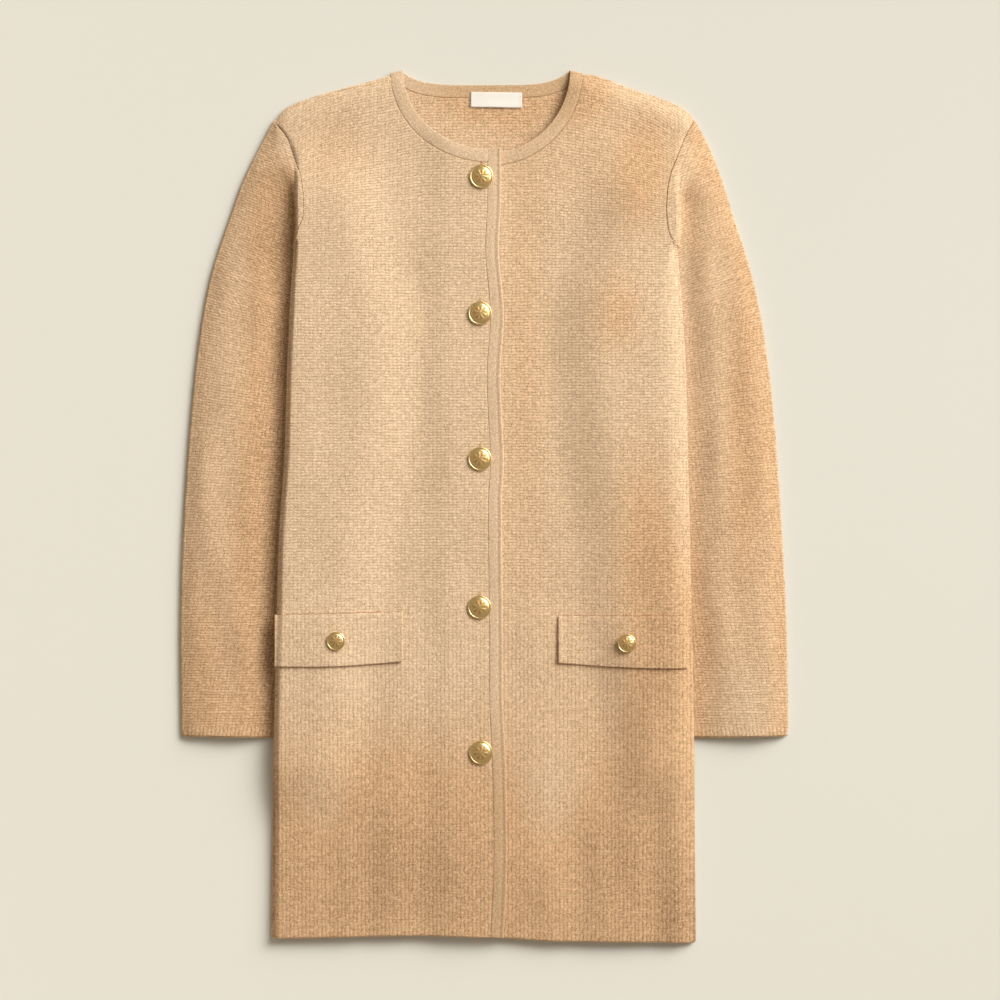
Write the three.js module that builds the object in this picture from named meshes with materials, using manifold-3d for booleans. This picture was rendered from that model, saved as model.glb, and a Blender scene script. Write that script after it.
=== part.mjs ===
// A long knitted jacket with no collar, buttoned and laid flat on its back, sleeves down.
// Millimetres. X runs towards the wearer's left, Y towards the neck, Z up off the surface.
// Y is 0 halfway along the garment. Every piece of knit is a wall of one thickness, and
// heights are those of the middle of the wall.

import * as THREE from "three";
import { mergeVertices } from "three/addons/utils/BufferGeometryUtils.js";
import Module from "manifold-3d";

const wasm = await Module();
wasm.setup();

// Driving sizes
const wall = 2.2; // thickness of the knit
const seam = 0.3; // gap between two pieces that are sewn together
const air = 0.5; // gap between two layers that lie on each other
const ply = wall + air; // from the middle of one layer to the middle of the next
const foldRadius = ply / 2; // a side or shoulder fold, to the middle of the wall
const foldInset = foldRadius + wall / 2; // from a fold's outside to the line where it starts
const hemY = -416; // hem, at the side seams
const underarmY = 248; // foot of the armhole
const tipY = 366; // top of the armhole
const cuffY = -222; // lower edge of the sleeves
const bandWidth = 12.5; // neckband and front band
const bandWall = 2.6; // the front band is a little thicker than the panel
const underlap = 28; // the left front runs this far in under the right front
const climbRun = 32; // the right front climbs onto it over this width
const climbMargin = 8; // and is up this far before it
const liftHeight = 9.5; // the back panel's underside, where a sleeve is tucked under it
const liftRun = 62; // the back panel comes down to the surface over this width
const liftTop = { y: 362, run: 75 }; // the lift has gone at the shoulder tips
const liftFoot = { y: -310, run: 68 }; // and below the cuffs
const sleeveLow = wall / 2; // the sleeve's lower layer
const sleeveHigh = 4.1; // the sleeve's upper layer, at its folds
const sleeveCrown = 4.6; // the upper layer stands this much higher away from the folds
const crownRun = { body: 26, outer: 30 }; // widths that it rises over, from either side
const crownMargin = 4; // it starts this far out from the body
const upperDrop = { start: -0.5, run: 3.2 }; // off the body's fold, past it
const lowerDrop = { start: -4.2, run: 5.5 };
const cuffTilt = { slope: 0.016, x: 240, run: 60 }; // the cuffs are not quite level

// Side edges of the body, from the underarm to the hem. "right" is the wearer's right.
const bodySides = [
  { y: 248, right: -180, left: 184.5 },
  { y: 197, right: -184.5, left: 189 },
  { y: 130, right: -187.5, left: 193 },
  { y: 48, right: -190, left: 195 },
  { y: -33, right: -195.5, left: 197 },
  { y: -168, right: -199, left: 200 },
  { y: -321, right: -202.5, left: 202.5 },
  { y: -420, right: -204, left: 203.5 },
];

// Armhole seams, from the shoulder tip to the underarm, and the fold that hangs over the sleeve.
const armholes = [
  { y: 366, right: -199.5, left: 200 },
  { y: 352, right: -188.5, left: 192 },
  { y: 332, right: -181, left: 184 },
  { y: 312, right: -174.8, left: 177 },
  { y: 286, right: -172.3, left: 174 },
  { y: 264, right: -175.5, left: 176.5 },
  { y: 248, right: -180, left: 184.5 },
];
const sleeveFolds = [
  { y: 366, right: -201.5, left: 202 },
  { y: 340, right: -187, left: 191 },
  { y: 318, right: -181.5, left: 187.5 },
  { y: 286, right: -180, left: 186 },
  { y: 248, right: -182, left: 186.5 },
];

// Outer edges of the sleeves, from the shoulder tip to the cuff.
const sleeveOuter = [
  { y: 366, right: -204.5, left: 205 },
  { y: 341, right: -218, left: 218 },
  { y: 312, right: -232, left: 229 },
  { y: 283, right: -242.5, left: 238 },
  { y: 226, right: -261.5, left: 256 },
  { y: 168, right: -273, left: 268.5 },
  { y: 82, right: -282.5, left: 279 },
  { y: -33, right: -290, left: 287 },
  { y: -120, right: -292.3, left: 291 },
  { y: -206, right: -291.5, left: 292.3 },
  { y: -217, right: -290.8, left: 291.5 },
  { y: -222, right: -287.5, left: 288.5 },
];

// Underarm seams of the sleeves, hidden under the body.
const sleeveInner = [
  { y: 248, right: -184, left: 188.5 },
  { y: 240, right: -183, left: 187.5 },
  { y: 222, right: -158, left: 162 },
  { y: 185, right: -128, left: 132 },
  { y: 100, right: -132, left: 136 },
  { y: -60, right: -155, left: 158 },
  { y: -222, right: -177, left: 180 },
];

// The back panel is lifted all the way outside these lines.
const liftEdges = [
  { y: 366, right: -150, left: 154 },
  { y: 250, right: -134, left: 138 },
  { y: 185, right: -116, left: 120 },
  { y: 100, right: -118, left: 122 },
  { y: -60, right: -142, left: 145 },
  { y: -222, right: -165, left: 168 },
];

// Shoulder folds, with the neckband's ends of them, and the hem.
const shoulderLine = [
  { x: -202, y: 369 },
  { x: -191.5, y: 381.5 },
  { x: -173, y: 390 },
  { x: -138, y: 400.5 },
  { x: -92, y: 413 },
  { x: -79, y: 418.5 },
  { x: 78, y: 418.8 },
  { x: 94, y: 416 },
  { x: 111, y: 412 },
  { x: 145, y: 399.5 },
  { x: 176, y: 389 },
  { x: 194, y: 379.5 },
  { x: 203, y: 369 },
];
const hemLine = [
  { x: -204, y: -414.5 },
  { x: -62, y: -411.6 },
  { x: 10, y: -413.5 },
  { x: 72, y: -416.8 },
  { x: 161, y: -418 },
  { x: 204, y: -418.8 },
];

// Where the front band is sewn to the right front. It wanders a little.
const frontSeam = [
  { y: 342, x: 3.4 },
  { y: 293, x: 3.4 },
  { y: 243, x: 1.4 },
  { y: 183, x: 6 },
  { y: 125, x: 2.8 },
  { y: 43, x: 6 },
  { y: 5, x: 4.2 },
  { y: -130, x: 5.2 },
  { y: -187, x: 5.3 },
  { y: -250, x: 8 },
  { y: -345, x: 9.2 },
  { y: -414, x: 6 },
];

// The neck opening: an ellipse on each front, and a flatter curve across the back.
const neckEdges = {
  right: { x: 5.3, y: 417.9, across: 83.5, down: 76.8 },
  left: { x: 2.4, y: 417.9, across: 79.7, down: 80.6 },
};
const backNeck = { x: 1.3, halfWidth: 79.6, y: 416.4, depth: 12, power: 4.6 };
const backNeckSeam = { x: 1.4, halfWidth: 92.2, y: 412.3, depth: 20.3, power: 4.6 };

// Soft ridges (height above 0) and troughs (below 0) on the fronts: the middle of each, its
// length and width, how far its line turns from straight down, and its height.
const creases = [
  { x: -86, y: -265, length: 330, width: 62, turn: 3, height: 1.5 },
  { x: 50, y: -245, length: 300, width: 52, turn: -2, height: 1.3 },
  { x: 148, y: -300, length: 220, width: 44, turn: 4, height: 1.1 },
  { x: 133, y: -20, length: 170, width: 46, turn: -6, height: -0.7 },
  { x: -105, y: 120, length: 200, width: 90, turn: 14, height: 0.9 },
  { x: 110, y: 210, length: 190, width: 70, turn: -12, height: 0.7 },
];
const creaseFall = 1.6; // how quickly a crease falls away past its length and width
const restingAir = 3; // mean extra air under the fronts
const airRun = 18; // which it reaches this far in from a fold

// Buttons. Each shank goes through its hole to the layer that it is sewn to.
const bigButton = { radius: 11.3, rim: 1.4, dome: 4.6, shankRadius: 1.5, stand: 0.6 };
const smallButton = { radius: 8.8, rim: 1.1, dome: 3.7, shankRadius: 1.3, stand: 1.5 };
const frontButtons = [
  { x: -2.8, y: 314.7 },
  { x: -4.3, y: 183.9 },
  { x: -4.3, y: 44.4 },
  { x: -4.8, y: -97.6 },
  { x: -3.4, y: -236.8 },
];
const buttonhole = { width: 3.6, below: 4, above: 15 }; // reach below and above the shank
const flapButtonhole = { width: 3.2, below: 3.5, above: 12 };

// Pocket flaps, by their corners, with the dip of the lower edge.
const flaps = {
  right: { inner: -78.3, outer: -200.5, top: -102, outerTop: -104.6, bottom: -149.7,
    outerBottom: -154, dip: 2, button: { x: -141.6, y: -129.6 } },
  left: { inner: 70.8, outer: 194.2, top: -106.2, outerTop: -105.6, bottom: -150.9,
    outerBottom: -156, dip: 1.6, button: { x: 136, y: -131.8 } },
};
const flapWall = 2;
const flapAir = 0.7; // between a flap and the front that it lies on
const flapMargin = 1; // a flap is level from this far inside the side fold

const label = { x: 11.3, y: 389.9, width: 49.5, height: 14.6, wall: 0.6, turn: -0.8 };

// Grid sizes
const skirtRows = 12; // rows of a panel from the hem to the underarm
const armholeRows = 6; // and from the underarm to the shoulder tip
const shoulderPlaces = [0, 0.06, 0.16, 0.36, 0.66, 1]; // columns across a shoulder, from the tip
const shoulderColumns = shoulderPlaces.length - 1;
const neckColumns = 8; // and along half of the front neck or the whole of the back neck
const neckTurn = 1.53; // angle of a front neck edge where it reaches the shoulder
const neckMargin = 1; // from there to the panel's last place on the shoulder
const backNeckGap = 0.48; // between the back panel and the neckband
const flapRows = 3;
const flapColumns = 8;
const foldTurns = [0.5, 1]; // steps round half of a fold
const wholeTurn = [36, 72, 108, 144]; // degrees round a whole fold
const signOf = { right: -1, left: 1 };

// Small helpers
const clamp01 = (t) => Math.min(1, Math.max(0, t));
const ease = (t) => clamp01(t) ** 2 * (3 - 2 * clamp01(t));
const mix = (a, b, t) => a + (b - a) * t;
const steps = (count) => Array.from({ length: count + 1 }, (_, i) => i / count);
const plan = (x, y) => new THREE.Vector2(x, y);

// A smooth curve through a table's rows: the value of one column at a place on another.
function follow(table, place, column, by = "y") {
  const rows = table[0][by] < table[table.length - 1][by] ? table : [...table].reverse();
  const last = rows.length - 1;
  const at = Math.min(rows[last][by], Math.max(rows[0][by], place));
  let i = 0;
  while (i < last - 1 && rows[i + 1][by] < at) i += 1;
  const slope = (k) => {
    const a = rows[Math.max(0, k - 1)];
    const b = rows[Math.min(last, k + 1)];
    return (b[column] - a[column]) / (b[by] - a[by]);
  };
  const span = rows[i + 1][by] - rows[i][by];
  const t = (at - rows[i][by]) / span;
  const bend = 2 * t ** 3 - 3 * t ** 2;
  return (
    rows[i][column] * (bend + 1) - rows[i + 1][column] * bend +
    span * (slope(i) * (t ** 3 - 2 * t ** 2 + t) + slope(i + 1) * (t ** 3 - t ** 2))
  );
}

const shoulderY = (x) => follow(shoulderLine, x, "y", "x");
const hemAt = (x) => follow(hemLine, x, "y", "x");
const seamX = (y) => follow(frontSeam, y, "x");
const edgeX = (side, y) => follow(y > underarmY ? armholes : bodySides, y, side);
const foldX = (side, y) => follow(y > underarmY ? sleeveFolds : bodySides, y, side);

// A point on a neck edge of the fronts, moved out from the opening. Angle 0 is straight down.
function neckPoint(side, angle, out) {
  const oval = neckEdges[side];
  return plan(
    oval.x + signOf[side] * (oval.across + out) * Math.sin(angle),
    oval.y - (oval.down + out) * Math.cos(angle),
  );
}

// The same places on the panel and on the band, from the shoulder down to the front edge.
function neckAngles(side) {
  const oval = neckEdges[side];
  const lowest = oval.y - oval.down - bandWidth;
  const edge = seamX(lowest) - (side === "right" ? seam : underlap);
  const end = Math.asin((signOf[side] * (edge - oval.x)) / oval.across);
  return steps(neckColumns).map((t) => mix(neckTurn, end, t));
}

const backNeckPlaces = steps(neckColumns).map((t) => -Math.cos(Math.PI * t));

// The back neck curve at t = -1 (wearer's right) to 1.
function backNeckPoint(curve, t) {
  return plan(curve.x + curve.halfWidth * t, curve.y - curve.depth * (1 - Math.abs(t) ** curve.power));
}

// Heights. How much the tucked sleeves lift the back panel off the surface.
function liftAt(x, y) {
  const side = x < 0 ? "right" : "left";
  const over = signOf[side] * (x - follow(liftEdges, y, side));
  const upper = ease((liftTop.y - y) / liftTop.run);
  const lower = ease((y - liftFoot.y) / liftFoot.run);
  return liftHeight * ease(1 + over / liftRun) * upper * lower;
}

// Air under the fronts: none at the folds, and more where a crease stands up.
function airAt(x, y) {
  const side = x < 0 ? "right" : "left";
  const toSide = signOf[side] * (foldX(side, y) - x);
  const toShoulder = shoulderY(x) - y;
  const inside = ease((Math.min(toSide, toShoulder) - foldInset) / airRun);
  let height = restingAir;
  for (const crease of creases) {
    const turn = THREE.MathUtils.degToRad(crease.turn);
    const dx = x - crease.x;
    const dy = y - crease.y;
    const across = (dx * Math.cos(turn) - dy * Math.sin(turn)) / (crease.width / 2);
    const along = (dx * Math.sin(turn) + dy * Math.cos(turn)) / (crease.length / 2);
    height += crease.height * Math.exp(-creaseFall * (across ** 2 + along ** 4));
  }
  return inside * height;
}

const backMid = (x, y) => liftAt(x, y) + wall / 2;
const frontMid = (x, y) => backMid(x, y) + ply + airAt(x, y);

// The right front climbs onto the left front, one layer up where they overlap.
function overMid(x, y) {
  const climb = ease(1 + (x - seamX(y) + underlap + climbMargin) / climbRun);
  return frontMid(x, y) + climb * ply;
}

// A closed wall through a grid of { point, normal } rows, with its rims.
function wallGeometry(grid, thickness) {
  const rows = grid.length;
  const columns = grid[0].length;
  const positions = [];
  for (const half of [0.5, -0.5]) {
    for (const row of grid) {
      for (const { point, normal } of row) {
        positions.push(...point.clone().addScaledVector(normal, half * thickness).toArray());
      }
    }
  }
  const at = (layer, r, c) => (layer * rows + r) * columns + c;
  const faces = [];
  const quad = (a, b, c, d) => faces.push(a, b, c, a, c, d);
  for (let r = 0; r < rows - 1; r += 1) {
    for (let c = 0; c < columns - 1; c += 1) {
      quad(at(0, r, c), at(0, r, c + 1), at(0, r + 1, c + 1), at(0, r + 1, c));
      quad(at(1, r, c), at(1, r + 1, c), at(1, r + 1, c + 1), at(1, r, c + 1));
    }
  }
  for (let c = 0; c < columns - 1; c += 1) {
    quad(at(0, 0, c), at(1, 0, c), at(1, 0, c + 1), at(0, 0, c + 1));
    quad(at(0, rows - 1, c), at(0, rows - 1, c + 1), at(1, rows - 1, c + 1), at(1, rows - 1, c));
  }
  for (let r = 0; r < rows - 1; r += 1) {
    quad(at(0, r, 0), at(0, r + 1, 0), at(1, r + 1, 0), at(1, r, 0));
    quad(at(0, r, columns - 1), at(1, r, columns - 1), at(1, r + 1, columns - 1), at(0, r + 1, columns - 1));
  }
  return facingOut(positions, faces);
}

// Turns the faces over where they enclose a negative volume.
function facingOut(positions, faces) {
  const corner = (i) => new THREE.Vector3().fromArray(positions, 3 * i);
  let volume = 0;
  for (let i = 0; i < faces.length; i += 3) {
    const [a, b, c] = [corner(faces[i]), corner(faces[i + 1]), corner(faces[i + 2])];
    volume += a.dot(b.cross(c));
  }
  if (volume < 0) faces.reverse();
  const geometry = new THREE.BufferGeometry();
  geometry.setAttribute("position", new THREE.Float32BufferAttribute(positions, 3));
  geometry.setIndex(faces);
  return geometry;
}

// A place beyond the line where an edge starts: flat out to a plain edge, or round half of a
// fold. way is 1 for an upper layer, which turns down, and -1 for a lower one, which turns up.
function edgePoint(base, out, height, way, step, curl, radius = foldRadius) {
  const angle = (step * Math.PI) / 2;
  const reach = mix((radius + wall / 2) * step, radius * Math.sin(angle), curl);
  const fall = curl * (radius * (1 - Math.cos(angle)) - (step * seam) / 2);
  const lean = curl * Math.sin(angle);
  return {
    point: new THREE.Vector3(base.x + out.x * reach, base.y + out.y * reach, height - way * fall),
    normal: new THREE.Vector3(out.x * lean, out.y * lean, way * mix(1, Math.cos(angle), curl)).normalize(),
  };
}

// Plan points inside four edges, each edge a list of points.
function fillPlan(bottom, top, left, right) {
  const columns = bottom.length - 1;
  const rows = left.length - 1;
  return left.map((start, j) =>
    bottom.map((foot, i) => {
      const u = i / columns;
      const v = j / rows;
      const blend = (key) =>
        mix(foot[key], top[i][key], v) + mix(start[key], right[j][key], u) -
        mix(mix(bottom[0][key], bottom[columns][key], u), mix(top[0][key], top[columns][key], u), v);
      return plan(blend("x"), blend("y"));
    }),
  );
}

// Heights down a side of a panel: even steps to the underarm, then even steps to the tip.
const sideStations = [
  ...steps(skirtRows).map((t) => mix(hemY, underarmY, t)),
  ...steps(armholeRows).slice(1).map((t) => mix(underarmY, tipY, t)),
];

// A side edge of the body and its armhole, moved in by the fold.
function sideEdge(side) {
  return sideStations.map((y) => {
    const x = edgeX(side, y) - signOf[side] * (foldInset + (y > underarmY ? seam / 2 : 0));
    return plan(x, y === hemY ? hemAt(x) : y);
  });
}

// Grows a filled plan past its edges, and gives every point its height and normal.
// edges say which way is out, and how far each place is curled.
function panelGrid(inside, heightAt, way, edges) {
  const lastRow = inside.length - 1;
  const lastColumn = inside[0].length - 1;
  const grid = inside.map((row, j) => {
    const cells = row.map((p) => edgePoint(p, plan(0, 0), heightAt(p.x, p.y), way, 0, 0));
    for (const side of edges.sides) {
      const base = side.sign < 0 ? row[0] : row[lastColumn];
      const curl = side.curl(sideStations[j]);
      for (const step of foldTurns) {
        const cell = edgePoint(base, plan(side.sign, 0), heightAt(base.x, base.y), way, step, curl);
        if (side.sign < 0) cells.unshift(cell);
        else cells.push(cell);
      }
    }
    return cells;
  });
  const grown = edges.sides.filter((side) => side.sign < 0).length * foldTurns.length;
  for (const step of foldTurns) {
    grid.push(
      grid[lastRow].map((cell, c) => {
        const column = Math.min(lastColumn, Math.max(0, c - grown));
        const { out, curl } = edges.top(column);
        const top = inside[lastRow][column];
        const raised = edgePoint(top, out, heightAt(top.x, top.y), way, step, curl);
        return {
          point: raised.point.add(cell.point.clone().sub(grid[lastRow][column + grown].point)),
          normal: raised.normal,
        };
      }),
    );
  }
  return grid;
}

const sideFold = (side) => ({ sign: signOf[side], curl: (y) => (y < underarmY + 1 ? 1 : 0) });

// A point of the shoulder, moved down by the fold.
const shoulderPoint = (x) => plan(x, shoulderY(x) - foldInset);

// The two fronts. The right one ends at the front band, the left one runs in under it.
function frontPanel(side) {
  const sign = signOf[side];
  const columns = shoulderColumns + neckColumns;
  const outerEdge = sideEdge(side);
  const topRow = outerEdge.length - 1;
  const angles = neckAngles(side);
  const neckEdge = angles.map((angle) => neckPoint(side, angle, bandWidth + seam));
  const neckInset = angles.map((angle) => neckPoint(side, angle, bandWidth + seam + foldInset));
  const shoulder = shoulderPlaces.slice(1, -1).map((t) =>
    shoulderPoint(mix(outerEdge[topRow].x, neckEdge[0].x + sign * neckMargin, t)),
  );
  const corner = shoulderPoint(neckEdge[0].x + sign * neckMargin);
  const top = [outerEdge[topRow], ...shoulder, corner, ...neckInset.slice(1)];
  const last = top.length - 1;
  const inward = side === "right" ? seam : underlap;
  const innerEdge = frontEdgeStations().map((y) => plan(seamX(y) - inward, y));
  innerEdge[0].y = hemAt(innerEdge[0].x);
  innerEdge[topRow] = top[last];
  const bottom = steps(last).map((t) => {
    const x = mix(outerEdge[0].x, innerEdge[0].x, t);
    return plan(x, hemAt(x));
  });
  const inside = fillPlan(bottom, top, outerEdge, innerEdge);
  if (side === "left") inside.forEach((row) => row.reverse());
  const edges = {
    sides: [sideFold(side)],
    top: (column) => {
      const k = side === "left" ? last - column : column;
      if (k <= shoulderColumns) return { out: plan(0, 1), curl: 1 };
      const place = k - last + neckColumns;
      return { out: neckEdge[place].clone().sub(neckInset[place]).normalize(), curl: 0 };
    },
  };
  return panelGrid(inside, side === "right" ? overMid : frontMid, 1, edges);
}

function backPanel() {
  const rightEdge = sideEdge("right");
  const leftEdge = sideEdge("left");
  const topRow = rightEdge.length - 1;
  const neckFold = plan(0, foldInset + backNeckGap);
  const neck = backNeckPlaces.map((t) => backNeckPoint(backNeckSeam, t).sub(neckFold));
  const ends = [neck[0], neck[neckColumns]];
  const shoulder = (tip, end) =>
    shoulderPlaces.slice(1, -1).map((t) => shoulderPoint(mix(tip.x, end.x, t)));
  const top = [
    rightEdge[topRow],
    ...shoulder(rightEdge[topRow], ends[0]),
    ...neck,
    ...shoulder(leftEdge[topRow], ends[1]).reverse(),
    leftEdge[topRow],
  ];
  const last = top.length - 1;
  const bottom = steps(last).map((t) => {
    const x = mix(rightEdge[0].x, leftEdge[0].x, t);
    return plan(x, hemAt(x));
  });
  const inside = fillPlan(bottom, top, rightEdge, leftEdge);
  const edges = {
    sides: [sideFold("right"), sideFold("left")],
    top: (column) => {
      const onNeck = column >= shoulderColumns && column <= last - shoulderColumns;
      return { out: plan(0, 1), curl: onNeck ? 0 : 1 };
    },
  };
  return panelGrid(inside, backMid, -1, edges);
}

// A sleeve: one sheet from its front edge, over the outer fold and back under to its back edge.
// Above the underarm those edges meet the armhole, below it each other.
const sleeveTop = tipY - 2;
const armholeFoot = underarmY + 3; // the edges are sewn to the armhole above this
const footGap = 4 * seam; // next to the underarm, under the point that follows
const footTop = underarmY + 6;
const sleeveStations = [
  sleeveTop,
  ...steps(armholeRows).slice(1, -1).reverse().map((t) => mix(underarmY, tipY, t)),
  252, 249, 238, 222, 204, 180, 140, 80, 0, -80, -150, -205, -216, cuffY,
];
const spreadColumns = 5; // columns across the open part of each layer
const sleeveFoldRadius = (sleeveHigh - sleeveLow) / 2;
const stepMargin = 3; // from the body's fold to the first open column
const leastStep = 0.8; // from a sewn edge to it

function sleeveGrid(side) {
  const sign = signOf[side];
  return sleeveStations.map((y) => {
    const joined = y > armholeFoot;
    const start = joined
      ? edgeX(side, y) + sign * (foldInset + (y < footTop ? footGap : seam))
      : follow(sleeveInner, y, side) + sign * (sleeveFoldRadius + wall / 2);
    const end = follow(sleeveOuter, y, side) - sign * (sleeveFoldRadius + wall / 2);
    const fold = foldX(side, y);
    const beyond = sign * fold + (joined ? stepMargin : 0);
    const least = Math.max(beyond, sign * start + leastStep);
    const foot = sign * Math.min(least, sign * mix(start, end, 0.5));
    const nearCuff = ease((cuffY + cuffTilt.run - y) / cuffTilt.run);
    const row = (x) => y + cuffTilt.slope * (Math.abs(x) - cuffTilt.x) * nearCuff;
    const upper = (x) => {
      const beside = sign * (x - fold);
      const fromBody = ease((beside - crownMargin) / crownRun.body);
      const fromEnds = fromBody * ease((sign * (end - x)) / crownRun.outer);
      const low = sleeveHigh + sleeveCrown * fromEnds;
      return joined ? mix(frontMid(x, y), low, ease((beside - upperDrop.start) / upperDrop.run)) : low;
    };
    const lower = (x) => {
      const drop = ease((sign * (x - fold) - lowerDrop.start) / lowerDrop.run);
      return joined ? mix(backMid(x, y), sleeveLow, drop) : sleeveLow;
    };
    const across = [start, mix(start, foot, 0.5), ...steps(spreadColumns).map((t) => mix(foot, end, t))];
    const cell = (x, height, way) => ({
      point: new THREE.Vector3(x, row(x), height),
      normal: new THREE.Vector3(0, 0, way),
    });
    const edgeBase = plan(start, row(start));
    const edgeShare = joined ? 0 : 1;
    const edgeRadius = joined ? foldRadius : sleeveFoldRadius;
    const edgeCells = (height, way) =>
      foldTurns.map((step) =>
        edgePoint(edgeBase, plan(-sign, 0), height, way, step, edgeShare, edgeRadius));
    const outerFold = wholeTurn.map((degrees) => {
      const angle = THREE.MathUtils.degToRad(degrees);
      const middle = (sleeveHigh + sleeveLow) / 2;
      return {
        point: new THREE.Vector3(end + sign * sleeveFoldRadius * Math.sin(angle), row(end),
          middle + sleeveFoldRadius * Math.cos(angle)),
        normal: new THREE.Vector3(sign * Math.sin(angle), 0, Math.cos(angle)),
      };
    });
    return [
      ...edgeCells(upper(start), 1).reverse(),
      ...across.map((x) => cell(x, upper(x), 1)),
      ...outerFold,
      ...[...across].reverse().map((x) => cell(x, lower(x), -1)),
      ...edgeCells(lower(start), -1),
    ];
  });
}

// The neckband: one strip from the right front's edge, over that shoulder, across the back,
// over the other shoulder, and down in under the right front.
function neckbandGrid() {
  const across = (free, sewn, height, way) =>
    [free, sewn].map((p) => ({
      point: new THREE.Vector3(p.x, p.y, height(p.x, p.y)),
      normal: new THREE.Vector3(0, 0, way),
    }));
  const frontStretch = (side, height) =>
    neckAngles(side).map((angle) =>
      across(neckPoint(side, angle, 0), neckPoint(side, angle, bandWidth), height, 1),
    );
  const backStretch = backNeckPlaces.map((t) =>
    across(backNeckPoint(backNeck, t), backNeckPoint(backNeckSeam, t), backMid, -1),
  );
  const shoulderTurn = (frontRow, backRow) =>
    wholeTurn.map((degrees) => {
      const angle = THREE.MathUtils.degToRad(degrees);
      return frontRow.map((front, i) => {
        const back = backRow[i].point;
        const radius = (front.point.z - back.z) / 2;
        const point = front.point.clone().lerp(back, degrees / 180);
        point.y += radius * Math.sin(angle);
        point.z = back.z + radius * (1 + Math.cos(angle));
        return { point, normal: new THREE.Vector3(0, Math.sin(angle), Math.cos(angle)) };
      });
    });
  const rightFront = frontStretch("right", overMid);
  const leftFront = frontStretch("left", frontMid);
  return [
    ...rightFront.toReversed(),
    ...shoulderTurn(rightFront[0], backStretch[0]),
    ...backStretch,
    ...shoulderTurn(leftFront[0], backStretch[neckColumns]).reverse(),
    ...leftFront,
  ];
}

// Heights down the edge of the right front, from its hem to the foot of the neckband.
function frontEdgeStations() {
  const foot = hemAt(seamX(hemY));
  const oval = neckEdges.right;
  return steps(skirtRows + armholeRows).map((t) => mix(foot, oval.y - oval.down - bandWidth - seam, t));
}

// The front band, from the hem up past the end of the neckband, on the edge of the right front.
const bandEdge = { start: 0.8, drop: 0.25, share: 0.8 }; // its free edge is rounded from here
function frontBandGrid() {
  const oval = neckEdges.right;
  const neckAt = (x) => oval.y - oval.down * Math.sqrt(1 - ((x - oval.x) / oval.across) ** 2);
  const stations = frontEdgeStations();
  const top = stations[stations.length - 1];
  return [...stations, mix(top, neckAt(seamX(top)), 0.5), neckAt(seamX(top))].map((y, row, all) =>
    [seam / 2, bandWidth * bandEdge.start, bandWidth].map((across) => {
      const rounded = across === bandWidth;
      const x = seamX(y) + across;
      const ends = { 0: hemAt(x), [all.length - 1]: neckAt(x) };
      const height = overMid(x, y) + (bandWall - wall) / 2 - (rounded ? bandEdge.drop : 0);
      return {
        point: new THREE.Vector3(x, ends[row] ?? y, height),
        normal: new THREE.Vector3(0, 0, rounded ? bandEdge.share : 1),
      };
    }),
  );
}

// A pocket flap, lying on its front and hanging a little past the side fold.
function flapGrid(side) {
  const flap = flaps[side];
  const surface = side === "right" ? overMid : frontMid;
  return steps(flapRows).map((v) =>
    steps(flapColumns).map((u) => {
      const x = mix(flap.inner, flap.outer, u);
      const topY = mix(flap.top, flap.outerTop, u);
      const bottomY = mix(flap.bottom, flap.outerBottom, u) - flap.dip * Math.sin(Math.PI * u);
      const y = mix(bottomY, topY, v);
      return {
        point: new THREE.Vector3(x, y, flapMid(side, x, y, surface)),
        normal: new THREE.Vector3(0, 0, 1),
      };
    }),
  );
}

// The flap keeps level over the round of the side fold.
function flapMid(side, x, y, surface) {
  const limit = foldX(side, y) - signOf[side] * (foldInset + flapMargin);
  const held = signOf[side] * Math.min(signOf[side] * x, signOf[side] * limit);
  return surface(held, y) + (wall + flapWall) / 2 + flapAir;
}

// The section of a button: its edge in shares of the radius and the rim, and its dome above.
const rimTop = 1.1;
const buttonEdge = [
  { across: 0.82, up: 0 },
  { across: 0.97, up: 0.35 },
  { across: 1, up: 0.75 },
  { across: 0.94, up: rimTop },
];
const domeRings = [
  { across: 0.715, up: 0.425 },
  { across: 0, up: 1 },
];

// A domed button on its shank, turned about its own axis, its underside at height 0.
function buttonGeometry(size, shankLength) {
  const rise = size.dome - size.rim * rimTop;
  const profile = [
    plan(0, -shankLength),
    plan(size.shankRadius, -shankLength),
    plan(size.shankRadius, 0),
    ...buttonEdge.map(({ across, up }) => plan(size.radius * across, size.rim * up)),
    ...domeRings.map(({ across, up }) => plan(size.radius * across, size.rim * rimTop + rise * up)),
  ];
  return new THREE.LatheGeometry(profile, 16);
}

// A closed mesh as a solid that can be joined and cut, and back again.
function toSolid(geometry) {
  const bare = geometry.clone();
  bare.deleteAttribute("normal");
  bare.deleteAttribute("uv");
  const merged = mergeVertices(bare, 1e-4);
  return new wasm.Manifold(new wasm.Mesh({
    numProp: 3,
    vertProperties: merged.attributes.position.array,
    triVerts: new Uint32Array(merged.index.array),
  }));
}

function fromSolid(solid) {
  const mesh = solid.getMesh();
  const geometry = new THREE.BufferGeometry();
  geometry.setAttribute("position", new THREE.Float32BufferAttribute(mesh.vertProperties, 3));
  geometry.setIndex(Array.from(mesh.triVerts));
  return geometry;
}

// Cuts an upright slot for each shank out of a wall.
const cutterHeight = 100; // through everything

function withButtonholes(geometry, places, hole) {
  const length = hole.above + hole.below;
  return fromSolid(
    places.reduce((solid, place) => {
      const cutter = new THREE.BoxGeometry(hole.width, length, cutterHeight);
      cutter.translate(place.x, place.y + (hole.above - hole.below) / 2, 0);
      return solid.subtract(toSolid(cutter));
    }, toSolid(geometry)),
  );
}

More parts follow.
